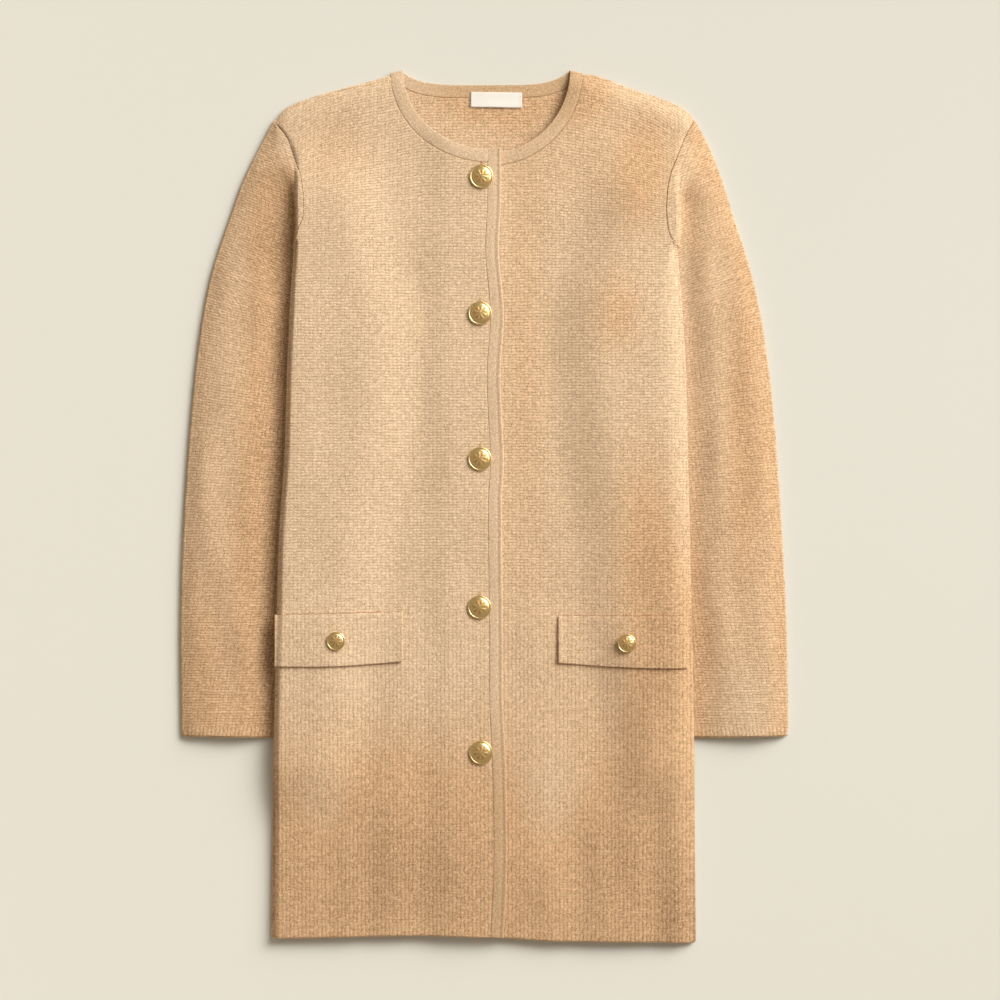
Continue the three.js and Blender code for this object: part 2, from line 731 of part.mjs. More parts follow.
const finishes = {
  knit: { color: 0xd9b48a, roughness: 0.95, metalness: 0 },
  band: { color: 0xe2c198, roughness: 0.95, metalness: 0 },
  gold: { color: 0xd6b254, roughness: 0.32, metalness: 1 },
  label: { color: 0xf2efe8, roughness: 0.7, metalness: 0 },
};

const garment = new THREE.Group();

function add(name, geometry, finish) {
  const mesh = new THREE.Mesh(geometry, new THREE.MeshStandardMaterial(finishes[finish]));
  mesh.name = name;
  garment.add(mesh);
  return mesh;
}

add("back_panel", wallGeometry(backPanel(), wall), "knit");
add("front_left", wallGeometry(frontPanel("left"), wall), "knit");
const frontRight = wallGeometry(frontPanel("right"), wall);
add("front_right", withButtonholes(frontRight, frontButtons, buttonhole), "knit");
add("sleeve_right", wallGeometry(sleeveGrid("right"), wall), "knit");
add("sleeve_left", wallGeometry(sleeveGrid("left"), wall), "knit");
add("neckband", wallGeometry(neckbandGrid(), wall), "band");
add("front_band", wallGeometry(frontBandGrid(), bandWall), "band");

for (const side of ["right", "left"]) {
  const flap = wallGeometry(flapGrid(side), flapWall);
  add(`flap_${side}`, withButtonholes(flap, [flaps[side].button], flapButtonhole), "knit");
}

// A button stands a little off the layer above its hole, and its shank ends just over the
// layer below it.
function addButton(name, size, place, topOfHole, topOfLayer) {
  const seat = topOfHole + size.stand;
  const button = add(name, buttonGeometry(size, seat - topOfLayer - seam).rotateX(Math.PI / 2), "gold");
  button.position.set(place.x, place.y, seat);
}

frontButtons.forEach((place, i) => {
  const hole = overMid(place.x, place.y) + wall / 2;
  addButton(`button_${i + 1}`, bigButton, place, hole, frontMid(place.x, place.y) + wall / 2);
});

for (const side of ["right", "left"]) {
  const place = flaps[side].button;
  const surface = side === "right" ? overMid : frontMid;
  const top = flapMid(side, place.x, place.y, surface) + flapWall / 2;
  addButton(`flap_button_${side}`, smallButton, place, top, surface(place.x, place.y) + wall / 2);
}

const tag = add("label", new THREE.BoxGeometry(label.width, label.height, label.wall), "label");
tag.position.set(label.x, label.y, wall + air + label.wall / 2);
tag.rotation.z = THREE.MathUtils.degToRad(label.turn);

// The origin is under the middle of the whole garment, on the surface that it lies on.
const bounds = new THREE.Box3().setFromObject(garment);
const middle = bounds.getCenter(new THREE.Vector3());
garment.position.set(-middle.x, -middle.y, -bounds.min.z);

export default garment;
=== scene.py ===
import math

import bpy
import numpy as np
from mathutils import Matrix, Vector


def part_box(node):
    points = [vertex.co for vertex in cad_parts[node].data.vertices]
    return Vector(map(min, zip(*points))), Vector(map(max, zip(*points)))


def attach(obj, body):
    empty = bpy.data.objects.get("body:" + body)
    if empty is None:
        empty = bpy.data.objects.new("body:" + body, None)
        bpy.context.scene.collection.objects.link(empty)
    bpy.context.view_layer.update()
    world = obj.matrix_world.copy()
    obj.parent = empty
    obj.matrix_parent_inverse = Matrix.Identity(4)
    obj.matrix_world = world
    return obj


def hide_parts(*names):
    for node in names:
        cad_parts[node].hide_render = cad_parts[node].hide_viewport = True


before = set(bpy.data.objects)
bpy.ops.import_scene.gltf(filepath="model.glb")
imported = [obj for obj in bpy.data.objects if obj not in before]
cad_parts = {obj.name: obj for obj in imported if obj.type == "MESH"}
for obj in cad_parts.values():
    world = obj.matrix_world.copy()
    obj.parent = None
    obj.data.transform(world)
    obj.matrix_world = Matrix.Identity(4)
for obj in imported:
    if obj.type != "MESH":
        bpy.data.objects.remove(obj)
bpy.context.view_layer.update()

print("frame loaded")

# Cloth sizes are in millimetres, Y from the middle of the garment's length, X towards the
# wearer's left. "right" and "left" are the wearer's. Heights are to the middle of the wall.
mm = 0.001
side = {"right": -1, "left": 1}

cloth = {
    "wall": 2.2,  # thickness of the knit
    "seamGap": -0.12,  # seams are pressed shut
    "air": 0.5,  # between layers
    "bandWidth": 12.5,
    "underlap": 28,  # of the left front under the right one
    "climbRun": 32,
    "climbMargin": 8,
    "liftHeight": 9.5,  # the back panel over a tucked sleeve
    "liftRun": 62,
    "restingAir": 3.0,
    "roundOver": 0.9,  # rounding of a plain edge
    "rippleHeight": 0.22,  # faint unevenness of laid knit
    "fullness": 3.2,  # of the body beside its folds, over the resting air
    "roll": 21,  # the body rounds over towards its folds within this width
    "rightRoll": 3,  # tighter along the right side
    "armholeRoll": 2.2,  # and more tightly beside the armholes
    "shoulderRoll": 8,
    "armholeInset": 0.5,
    "edgeInset": 1.0,  # of the grid from a plain edge
}
ply = cloth["wall"] + cloth["air"]
half = cloth["wall"] / 2
foldRadius = ply / 2
foldInset = foldRadius + half

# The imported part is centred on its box, so one button says how far it was moved
buttonPlaces = {
    "button_1": (-2.8, 314.7),
    "button_2": (-4.3, 183.9),
    "button_3": (-4.3, 44.4),
    "button_4": (-4.8, -97.6),
    "button_5": (-3.4, -236.8),
}
low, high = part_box("button_3")
middle = [(low[k] + high[k]) / 2 / mm - buttonPlaces["button_3"][k] for k in (0, 1)]
shift = np.array(middle + [0.0])

# Curves that the garment is cut and laid to


def table(columns, *rows):
    return [dict(zip(columns.split(), row)) for row in rows]


bodySides = table(
    "y right left",
    (248, -182.6, 184.5), (234, -183.5, 185.7), (197, -186.1, 189), (130, -189.1, 193),
    (48, -191.6, 195), (-33, -197, 197), (-168, -200.6, 200), (-321, -204, 202.5), (-420, -205.3, 203.5),
)
armholes = table(
    "y right left",
    (369, -201, 201.6), (366, -199, 199.6), (352, -188.5, 192), (332, -181, 184), (312, -174.8, 177),
    (286, -172.3, 174), (274, -173.5, 174.6), (264, -177.6, 175.9), (256, -179.4, 178.6),
    (252, -181, 181.4), (248, -182.6, 184.5),
)
sleeveFolds = table(
    "y right left",
    (369, -202, 202.6), (366, -201, 201.6), (340, -187, 191), (318, -181.5, 187.5), (286, -180, 186),
    (262, -180.4, 185.6), (254, -181.2, 185.1), (248, -182.6, 184.7),
)
sleeveOuter = table(
    "y right left",
    (369, -203, 203.4), (366, -205, 205.2), (341, -218, 218), (312, -232, 229), (283, -242.5, 238),
    (226, -261.5, 256), (168, -273, 268.5), (82, -282.5, 279), (-33, -290, 287), (-120, -292.3, 291),
    (-206, -291.5, 292.3), (-218, -291.3, 292), (-222, -290.2, 291),
)
sleeveInner = table(
    "y right left",
    (248, -177, 181.5), (240, -172, 176.5), (222, -158, 162), (185, -128, 132), (100, -132, 136),
    (-60, -155, 158), (-222, -177, 180),
)
liftEdges = table(
    "y right left",
    (366, -150, 154), (250, -134, 138), (185, -116, 120), (100, -118, 122), (-60, -142, 145),
    (-222, -165, 168),
)
shoulderLine = table(
    "x y",
    (-202, 369), (-191.5, 381.5), (-173, 390), (-138, 400.5), (-92, 413), (-79, 418.5), (78, 418.8),
    (94, 416), (111, 412), (145, 399.5), (176, 389), (194, 379.5), (203, 369),
)
hemLine = table(
    "x y", (-204, -414.5), (-62, -411.6), (10, -413.5), (72, -416.8), (161, -418), (204, -418.8),
)
frontSeam = table(
    "y x",
    (342, 3.4), (293, 3.4), (243, 1.4), (183, 6), (125, 2.8), (43, 6), (5, 4.2), (-130, 5.2),
    (-187, 5.3), (-250, 8), (-345, 9.2), (-414, 6),
)
neckEdges = {
    "right": {"x": 5.3, "y": 417.9, "across": 83.5, "down": 76.8},
    "left": {"x": 2.4, "y": 417.9, "across": 79.7, "down": 80.6},
}
backNeck = {"x": 1.3, "halfWidth": 79.6, "y": 416.4, "depth": 12, "power": 4.6}
backNeckSeam = {"x": 1.4, "halfWidth": 92.2, "y": 412.3, "depth": 20.3, "power": 4.6}
levels = {"hem": -416, "underarm": 248, "tip": 368.5, "cuff": -222}

# Soft ridges and troughs: middle, length, width, turn from straight down, height
creases = table(
    "x y length width turn height",
    (-86, -265, 330, 62, 3, 1.5),
    (50, -245, 300, 52, -2, 1.3),
    (148, -300, 220, 44, 4, 1.1),
    (133, -20, 170, 46, -6, -0.7),
    (-105, 120, 200, 90, 14, 0.9),
    (110, 210, 190, 70, -12, 0.7),
    (-170, 95, 260, 44, 2, 0.8),
    (-132, -360, 150, 26, 0, 0.9),
    (-108, -372, 170, 26, 2, -1.2),
    (64, -385, 110, 24, 0, 0.8),
    (90, -370, 130, 28, 0, -1.2),
    (114, -362, 140, 26, -3, 1.0),
    (165, -366, 170, 36, -4, -1.7),
    (148, -95, 210, 34, -2, -0.9),
    (-177, 300, 130, 34, 0, 1.5),
)
ripples = table(
    "x y phase",
    (0.031, 0.008, 0.4), (0.052, -0.017, 2.1), (0.019, 0.041, 4.0), (0.088, 0.029, 1.2),
    (0.067, -0.071, 5.2),
)

# Where something changes along Y: where it begins and how far it takes, below nothing if downwards
changes = {
    "liftTop": (362, -75),
    "liftFoot": (-310, 68),
    "armhole": (185, 80),
    "armholeTop": (345, -55),
    "shoulder": (290, 40),
    "sewnSide": (levels["underarm"] + 1, 5),
    "sewnSleeve": (levels["underarm"] - 1, 2.5),
    "courseSlope": (210, 150),
    "courseFan": (250, 110),
    # where the painted shade towards the hem begins, and how far it runs
    "hemShade": (-140, -230),
    "skirtRib": (-20, -160),
    "cuffRib": (levels["cuff"] + 11, -4),
    "cuffDroop": (levels["cuff"] + 60, -60),
    "cap": (290, 45),  # the sleeve slopes straight from its seam to its outer fold
    "capCrown": (285, 35),
    "capDrop": (285, 60),
    "sleeveTilt": (-60, 400),
    # where the painted shadow beside the body starts and ends along a sleeve
    "tuckShadowFoot": (-260, 80),
    "tuckShadowTop": (350, -80),
}


def ease(t):
    t = np.clip(t, 0, 1)
    return t * t * (3 - 2 * t)


def changed(name, y):
    start, run = changes[name]
    return ease((y - start) / run)


def rounded(t):
    return 1 - (1 - np.clip(t, 0, 1)) ** 2.2


def mix(a, b, t):
    return a + (b - a) * t


def ridge(distance, width):
    return np.exp(-(distance / width) ** 2)


def follow(rows, place, column, by="y"):
    # a smooth curve through a table, as a value of one column at a place on another
    ordered = sorted(rows, key=lambda row: row[by])
    at = np.array([row[by] for row in ordered], float)
    value = np.array([row[column] for row in ordered], float)
    last = len(at) - 1
    before = np.maximum(np.arange(last + 1) - 1, 0)
    after = np.minimum(np.arange(last + 1) + 1, last)
    slope = (value[after] - value[before]) / (at[after] - at[before])
    place = np.clip(np.asarray(place, float), at[0], at[-1])
    i = np.clip(np.searchsorted(at, place, side="right") - 1, 0, last - 1)
    span = at[i + 1] - at[i]
    t = (place - at[i]) / span
    bend = 2 * t ** 3 - 3 * t ** 2
    return (
        value[i] * (bend + 1) - value[i + 1] * bend
        + span * (slope[i] * (t ** 3 - 2 * t ** 2 + t) + slope[i + 1] * (t ** 3 - t ** 2))
    )


def seamX(y):
    return follow(frontSeam, y, "x")


def hemAt(x):
    return follow(hemLine, x, "y", "x")


def shoulderY(x):
    return follow(shoulderLine, x, "y", "x")


def aboveUnderarm(name, y, curve):
    y = np.asarray(y, float)
    return np.where(y > levels["underarm"], follow(curve, y, name), follow(bodySides, y, name))


def edgeX(name, y):
    return aboveUnderarm(name, y, armholes)


def foldX(name, y):
    return aboveUnderarm(name, y, sleeveFolds)


def eitherSide(x, y, curve):
    return np.where(x < 0, -curve("right", y), curve("left", y))


def liftAt(x, y):
    inner = eitherSide(x, y, lambda name, at: follow(liftEdges, at, name))
    rise = ease(1 + (np.abs(x) - inner) / cloth["liftRun"])
    return cloth["liftHeight"] * rise * changed("liftTop", y) * changed("liftFoot", y)


def rippleAt(x, y):
    # faint lengthwise and crosswise unevenness, the same each time
    waves = [x * wave["x"] + y * wave["y"] + wave["phase"] + 1.3 * np.sin(y * 0.013 + wave["phase"])
             for wave in ripples]
    return cloth["rippleHeight"] * sum(np.sin(wave) for wave in waves)


def sewnAt(y):
    # 0 where the panel's side folds under, 1 where it is sewn to the sleeve
    return changed("sewnSide", y)


def airAt(x, y):
    toSide = eitherSide(x, y, foldX) - np.abs(x)
    roll = mix(cloth["rightRoll"], cloth["roll"], ease((x + 80) / 160))
    roll = mix(roll, cloth["shoulderRoll"], changed("shoulder", y))
    roll = mix(roll, cloth["armholeRoll"], changed("armhole", y) * changed("armholeTop", y))
    fromSide = (toSide - foldInset * (1 - sewnAt(y))) / roll
    inside = rounded(np.minimum(fromSide, (shoulderY(x) - y - foldInset) / cloth["roll"]))
    height = cloth["restingAir"] + cloth["fullness"] + rippleAt(x, y)
    for crease in creases:
        turn = math.radians(crease["turn"])
        dx, dy = x - crease["x"], y - crease["y"]
        across = (dx * math.cos(turn) - dy * math.sin(turn)) / (crease["width"] / 2)
        along = (dx * math.sin(turn) + dy * math.cos(turn)) / (crease["length"] / 2)
        height = height + crease["height"] * np.exp(-1.6 * (across ** 2 + along ** 4))
    return inside * height


def backMid(x, y):
    return liftAt(x, y) + half


def frontMid(x, y):
    return backMid(x, y) + ply + airAt(x, y)


def overMid(x, y):
    start = seamX(y) - cloth["underlap"] - cloth["climbMargin"]
    return frontMid(x, y) + ply * ease(1 + (x - start) / cloth["climbRun"])


fronts = {"right": overMid, "left": frontMid}  # the right front lies on top

# The yarn's tone over the garment, 0 deep to 1 pale, with painted shade laid into it (towards the hem, on
# a sleeve beside the body, along a sleeve's outer fold) and soft patches of painted shade that are deeper
# by an amount, or of painted light where it is less than nothing
tone = {
    "body": 0.985,
    "sleeves": 0.925,
    "sleevesFrom": 192,
    # painted shade: the yarn's tone falls to this at the hem, for the light that falls off there
    "hem": 0.78,
    # painted shadow of the body's edge on each sleeve beside it, deep on the right sleeve, which lies away
    # from the light
    "tucked": {"right": 0.54, "left": 0.04},  # of a sleeve, beside the body
    "tuckShadowRun": 15,
    # painted shade along a sleeve's outer fold, to hold down the light it catches; more on the left
    # sleeve, which faces the light
    "outer": {"right": 0.02, "left": 0.07},  # beside its outer fold
    "outerShadeRun": 16,
}
# Painted shade and light: soft patches that darken the yarn where the cloth should look shaded, and
# lighten it where their amount is below nothing
paintedShadeAndLightPatches = table(
    "x y width length amount",
    (154, -34, 28, 90, 0.13),  # beside the left edge of the body
    (177, -139, 28, 80, 0.22),
    (187, -390, 26, 64, 0.18),
    (38, 150, 24, 230, 0.08),  # beside the band
    (100, -150, 95, 190, 0.04),  # left of the skirt
    (134, -335, 30, 50, 0.12),
    (162, -188, 28, 40, 0.09),
    (66, -285, 34, 60, -0.12),
    (-86, -342, 52, 90, 0.12),  # right of the skirt
    (-150, -300, 30, 50, -0.08),
    (-90, -414, 90, 18, -0.1),
    (124, 330, 84, 66, 0.06),  # shoulders and chest
    (-145, 342, 36, 46, 0.06),
    (160, 330, 22, 50, 0.08),
    (143, 300, 22, 50, 0.06),
    (128, 185, 26, 40, 0.11),
    (8, 396, 62, 34, 0.2),  # inside the neck and beside it
    (92, 402, 26, 26, 0.24),
    (-205, 254, 14, 46, 0.3),  # right sleeve
    (-220, -52, 16, 180, 0.12),
    (-268, -150, 24, 90, 0.07),
    (250, 72, 15, 125, 0.12),  # left sleeve
    (250, -205, 40, 45, -0.06),
)


# the yarn's tone, with the painted shade towards the hem and the patches of painted shade and light
def toneWithShadeAt(x, y):
    level = mix(tone["body"], tone["sleeves"], ease((np.abs(x) - tone["sleevesFrom"]) / 10))
    level = mix(level, tone["hem"], changed("hemShade", y))
    for patch in paintedShadeAndLightPatches:
        across, along = (x - patch["x"]) / patch["width"], (y - patch["y"]) / patch["length"]
        level = level - patch["amount"] * np.exp(-across ** 2 - along ** 2)
    return level


ribs = {"height": 11, "run": 4, "skirt": 0.6, "skirtHalfWidth": 205, "cuffFrom": 206, "cuffFoot": -300}


def ribAt(x, y):
    # the last courses turn to ribs at the hem and cuffs, and the skirt's are half turned
    atHem = ease((hemAt(x) + ribs["height"] - y) / ribs["run"])
    atCuff = changed("cuffRib", y) * (np.abs(x) > ribs["cuffFrom"]) * (y > ribs["cuffFoot"])
    overSkirt = ribs["skirt"] * changed("skirtRib", y) * (np.abs(x) < ribs["skirtHalfWidth"])
    return np.maximum(np.maximum(atHem, atCuff), overSkirt)


# Grids of cloth: each point has a place, the way that its wall faces and a share of the thickness


def flatGrid(x, y, z, way, u=None, v=None):
    u, v = (x if u is None else u), (y if v is None else v)
    x, y, z, u, v = np.broadcast_arrays(np.asarray(x, float), y, z, u, v)
    grid = {
        "point": np.stack([x, y, z], -1),
        "facing": np.zeros(x.shape + (3,)),
        "share": np.ones(x.shape),
        "knit": np.stack([u, v], -1),
        # tone carries painted shade and light as well as the yarn's own tone
        "tone": toneWithShadeAt(x, y),
        "rib": ribAt(x, y),
    }
    grid["facing"][..., 2] = way
    return grid


def joinGrids(grids, axis):
    return {key: np.concatenate([grid[key] for grid in grids], axis) for key in grids[0]}


def stackRows(rows, axis=0):
    return {key: np.stack([row[key] for row in rows], axis) for key in rows[0]}


def backwards(grid):
    return {key: value[::-1] for key, value in grid.items()}


def grow(grid, edge, out, curl, way, count=5, radius=foldRadius, plainReach=foldInset):
    # edge is "first" or "last" row of the grid; the new rows run out flat to a rounded edge,
    # or round half of a fold where curl is 1
    if edge == "first":
        return backwards(grow(backwards(grid), "last", out, curl, way, count, radius, plainReach))
    base = {key: value[-1] for key, value in grid.items()}
    before = grid["point"][-2]
    run = np.linalg.norm((base["point"] - before)[:, :2], axis=1)
    slope = np.clip((base["point"] - before)[:, 2] / np.maximum(run, 0.2), -0.6, 0.6)
    curl = np.broadcast_to(np.asarray(curl, float), base["share"].shape)
    out = np.broadcast_to(np.asarray(out, float), base["share"].shape + (2,))
    rounding = np.minimum(cloth["roundOver"], 0.6 * np.asarray(plainReach, float))
    rows = []
    for k in range(1, count + 1):
        step = k / count
        angle = step * math.pi / 2
        flatReach = np.asarray((plainReach - rounding) + rounding * math.sin(angle))
        reach = mix(flatReach, radius * math.sin(angle), curl)
        fall = curl * (radius * (1 - math.cos(angle)) - step * cloth["seamGap"] / 2)
        fall = fall - way * (1 - curl) * slope * np.maximum(flatReach, 0)
        reach = np.broadcast_to(reach, curl.shape)
        lean = curl * math.sin(angle)
        facing = np.concatenate([out * lean[:, None], (way * mix(1, math.cos(angle), curl))[:, None]], 1)
        arc = np.broadcast_to(mix(flatReach, radius * angle, curl), curl.shape)
        rows.append({
            "point": base["point"] + np.concatenate([out * reach[:, None], (-way * fall)[:, None]], 1),
            "facing": facing / np.linalg.norm(facing, axis=1)[:, None],
            "share": base["share"] * mix(math.cos(angle) * 0.85 + 0.15, 1, curl),
            "knit": base["knit"] + out * arc[:, None],
            "tone": base["tone"],
            "rib": base["rib"],
        })
    return joinGrids([grid, stackRows(rows)], 0)


def turned(grid):
    return {key: np.swapaxes(value, 0, 1) for key, value in grid.items()}


def growSide(grid, edge, out, curl, way, **more):
    return turned(grow(turned(grid), edge, out, curl, way, **more))


def growPlain(grid, sign, across, lengthwise, columns=5, low=5, high=5):
    # a plain rounded edge on all four sides of a grid that lies face up, its first column
    # on the side that sign points away from
    across = np.broadcast_to(across, 2)
    grid = growSide(grid, "first", (-sign, 0), 0, 1, count=columns, plainReach=across[0])
    grid = growSide(grid, "last", (sign, 0), 0, 1, count=columns, plainReach=across[1])
    grid = grow(grid, "last", (0, 1), 0, 1, count=high, plainReach=lengthwise)
    return grow(grid, "first", (0, -1), 0, 1, count=low, plainReach=lengthwise)


def addPiece(name, places, faces):
    # a smooth mesh with its place in it; places are in millimetres, as the garment lies
    mesh = bpy.data.meshes.new(name)
    mesh.from_pydata(((places + shift) * mm).tolist(), [], faces)
    mesh.polygons.foreach_set("use_smooth", np.ones(len(faces), bool))
    mesh.update()
    piece = bpy.data.objects.new(name, mesh)
    bpy.context.scene.collection.objects.link(piece)
    return piece


def addValues(piece, name, values):
    layer = piece.data.attributes.new(name, "FLOAT", "POINT")
    layer.data.foreach_set("value", values.astype(np.float32))


def signedVolume(places, faces):
    a, b, c, d = (places[faces[:, k]] for k in range(4))
    volume = lambda p, q: np.einsum("ij,ij->i", a, np.cross(p, q)).sum()
    return float(volume(b, c) + volume(c, d))


def clothPiece(name, grid, thickness):
    # a closed wall through the grid, with its knit coordinates in metres as a UV map
    point, facing = grid["point"], grid["facing"]
    out = (thickness / 2 * grid["share"])[..., None] * facing
    rows, columns = grid["share"].shape
    places = np.concatenate([(point + out).reshape(-1, 3), (point - out).reshape(-1, 3)])
    index = np.arange(rows * columns).reshape(rows, columns)
    other = index + rows * columns
    a, b, c, d = index[:-1, :-1], index[:-1, 1:], index[1:, 1:], index[1:, :-1]
    faces = [
        np.stack([a, b, c, d], -1).reshape(-1, 4),
        np.stack([a, d, c, b], -1).reshape(-1, 4) + rows * columns,
    ]

    def rim(first, second, flip):
        strip = np.stack([first[:-1], second[:-1], second[1:], first[1:]], -1)
        faces.append(strip[:, ::-1] if flip else strip)

    rim(index[0], other[0], False)
    rim(index[-1], other[-1], True)
    rim(index[:, 0], other[:, 0], True)
    rim(index[:, -1], other[:, -1], False)
    faces = np.concatenate(faces)
    if signedVolume(places, faces) < 0:
        faces = faces[:, ::-1]
    piece = addPiece(name, places, faces.tolist())
    knit = np.tile(grid["knit"].reshape(-1, 2), (2, 1)) * mm
    layer = piece.data.uv_layers.new(name="knit")
    layer.data.foreach_set("uv", knit[faces.reshape(-1)].astype(np.float32).reshape(-1))
    for key in ("tone", "rib"):
        addValues(piece, key, np.tile(grid[key].reshape(-1), 2))
    return piece


def fillPlan(bottom, top, left, right):
    # plan points inside four edges; the bend of a side fades out quickly away from it
    u = np.linspace(0, 1, len(bottom))[None, :, None]
    v = np.linspace(0, 1, len(left))[:, None, None]
    leftBend = left[:, None] - mix(bottom[0], top[0], v)
    rightBend = right[:, None] - mix(bottom[-1], top[-1], v)
    return mix(bottom[None], top[None], v) + leftBend * (1 - u) ** 3 + rightBend * u ** 3


def columnsOf(x, y):
    return np.stack(np.broadcast_arrays(np.asarray(x, float), np.asarray(y, float)), -1)


def neckPoint(name, angle, out):
    oval = neckEdges[name]
    return columnsOf(
        oval["x"] + side[name] * (oval["across"] + out) * np.sin(angle),
        oval["y"] - (oval["down"] + out) * np.cos(angle),
    )


def cornerAngle(name, out):
    # where a line along the neck meets the inset line along the shoulder
    angles = np.linspace(1.2, 1.57, 400)
    places = neckPoint(name, angles, out)
    above = places[:, 1] - (shoulderY(places[:, 0]) - foldInset)
    return angles[np.argmin(np.abs(above))]


def lowestSeam(name):
    oval = neckEdges[name]
    return oval["y"] - oval["down"] - cloth["bandWidth"]


def neckAngles(name, count):
    oval = neckEdges[name]
    edge = seamX(lowestSeam(name)) - (cloth["seamGap"] if name == "right" else cloth["underlap"])
    end = math.asin(side[name] * (edge - oval["x"]) / oval["across"])
    return np.linspace(1.53, end, count + 1)


def backNeckPoint(curve, t):
    return columnsOf(
        curve["x"] + curve["halfWidth"] * t,
        curve["y"] - curve["depth"] * (1 - np.abs(t) ** curve["power"]),
    )


# Body panels

body = {
    "skirtRows": 210,
    "armholeRows": 44,
    "shoulderColumns": 30,
    "neckColumns": 34,
    "shoulderBunch": 1.7,  # columns close up towards the shoulder tip
    "lean": 1.16,  # columns lean in towards the neck, so that none cross
    "grownRows": 5,  # rows round an edge or a fold
    "courseSlope": 0.2,  # courses slope with the shoulders, this far from the middle
    "slopeFrom": 60,
    "courseFan": 0.004,  # and fan towards the shoulder tips
    "fanFrom": 130,
    "backSkirtRows": 110,
    "backArmholeRows": 30,
    "backShoulderColumns": 18,
    "backNeckColumns": 44,
    "backNeckGap": -0.192,
    "backHemRise": 0.6,
}


def sideStations(skirtRows, armholeRows):
    skirt = np.linspace(levels["hem"], levels["underarm"], skirtRows + 1)
    return np.concatenate([skirt, np.linspace(levels["underarm"], levels["tip"], armholeRows + 1)[1:]])


def insetAt(y):
    return mix(foldInset, cloth["armholeInset"], sewnAt(y))


def sideEdge(name, stations):
    above = stations > levels["underarm"]
    x = edgeX(name, stations) - side[name] * (insetAt(stations) + above * cloth["seamGap"] / 2)
    y = stations.copy()
    y[0] = hemAt(x[0])
    return columnsOf(x, y)


def courseTilt(x, y):
    slope = body["courseSlope"] * np.maximum(np.abs(x) - body["slopeFrom"], 0) * changed("courseSlope", y)
    fan = body["courseFan"] * np.maximum(np.abs(x) - body["fanFrom"], 0) ** 2 * changed("courseFan", y)
    return y + slope + fan


def finishPanel(inside, heightAt, way, rightSide, leftSide, topOut, topCurl):
    # each side is given as its curl and its plain reach
    x, y = inside[..., 0], inside[..., 1]
    count = body["grownRows"]
    grid = flatGrid(x, y, heightAt(x, y), way, v=courseTilt(x, y))
    grid = growSide(grid, "first", (-1, 0), rightSide[0], way, count=count, plainReach=rightSide[1])
    grid = growSide(grid, "last", (1, 0), leftSide[0], way, count=count, plainReach=leftSide[1])
    pad = lambda values: np.concatenate([[values[0]] * count, values, [values[-1]] * count])
    grid = grow(grid, "last", pad(topOut), pad(topCurl), way, count=count)
    return grow(grid, "first", (0, -1), 0, way, count=3, plainReach=cloth["edgeInset"])


def shoulderPlaces(tip, neck, count):
    t = np.linspace(0, 1, count + 1) ** body["shoulderBunch"]
    x = mix(tip, neck, t)
    return columnsOf(x, shoulderY(x) - foldInset)


def frontPanel(name):
    onShoulder = body["shoulderColumns"]
    stations = sideStations(body["skirtRows"], body["armholeRows"])
    outerEdge = sideEdge(name, stations)
    angles = neckAngles(name, body["neckColumns"])
    gap = cloth["bandWidth"] + cloth["seamGap"]
    inner = np.linspace(cornerAngle(name, gap + foldInset), angles[-1], len(angles))
    neckInset = neckPoint(name, inner, gap + foldInset)
    shoulder = shoulderPlaces(outerEdge[-1, 0], neckInset[0, 0], onShoulder)
    top = np.concatenate([outerEdge[-1:], shoulder[1:], neckInset[1:]])
    inward = cloth["seamGap"] if name == "right" else cloth["underlap"]
    y = np.linspace(hemAt(seamX(levels["hem"])), top[-1, 1], len(stations))
    innerEdge = columnsOf(seamX(y) - inward - foldInset, y)
    innerEdge[0, 1] = hemAt(innerEdge[0, 0])
    top[-1] = innerEdge[-1]
    under = neckInset[0, 0] * body["lean"]
    x = np.concatenate([
        np.linspace(outerEdge[0, 0], under, onShoulder + 1),
        np.linspace(under, innerEdge[0, 0], body["neckColumns"] + 1)[1:],
    ])
    inside = fillPlan(columnsOf(x, hemAt(x)), top, outerEdge, innerEdge)
    topOut = np.tile([0.0, 1.0], (len(top), 1))
    topOut[onShoulder:] = (neckPoint(name, angles, gap) - neckInset) / foldInset
    topCurl = (np.arange(len(top)) <= onShoulder).astype(float)
    folded, plain = (1 - sewnAt(stations), insetAt(stations)), (0, foldInset)
    if name == "left":
        inside, topOut, topCurl = inside[:, ::-1], topOut[::-1], topCurl[::-1]
        return finishPanel(inside, frontMid, 1, plain, folded, topOut, topCurl)
    return finishPanel(inside, overMid, 1, folded, plain, topOut, topCurl)


def backPanel():
    onShoulder = body["backShoulderColumns"]
    stations = sideStations(body["backSkirtRows"], body["backArmholeRows"])
    rightEdge, leftEdge = sideEdge("right", stations), sideEdge("left", stations)
    neck = backNeckPoint(backNeckSeam, -np.cos(np.linspace(0, math.pi, body["backNeckColumns"] + 1)))
    neck[:, 1] -= foldInset + body["backNeckGap"]
    rightShoulder = shoulderPlaces(rightEdge[-1, 0], neck[0, 0], onShoulder)
    leftShoulder = shoulderPlaces(leftEdge[-1, 0], neck[-1, 0], onShoulder)[::-1]
    top = np.concatenate([rightEdge[-1:], rightShoulder[1:-1], neck, leftShoulder[1:-1], leftEdge[-1:]])
    x = np.linspace(rightEdge[0, 0], leftEdge[0, 0], len(top))
    inside = fillPlan(columnsOf(x, hemAt(x) + body["backHemRise"]), top, rightEdge, leftEdge)
    folded = (1 - sewnAt(stations), insetAt(stations))
    topCurl = np.ones(len(top))
    topCurl[onShoulder:-onShoulder] = 0
    upward = np.tile([0.0, 1.0], (len(top), 1))
    return finishPanel(inside, backMid, -1, folded, folded, upward, topCurl)


# Sleeves

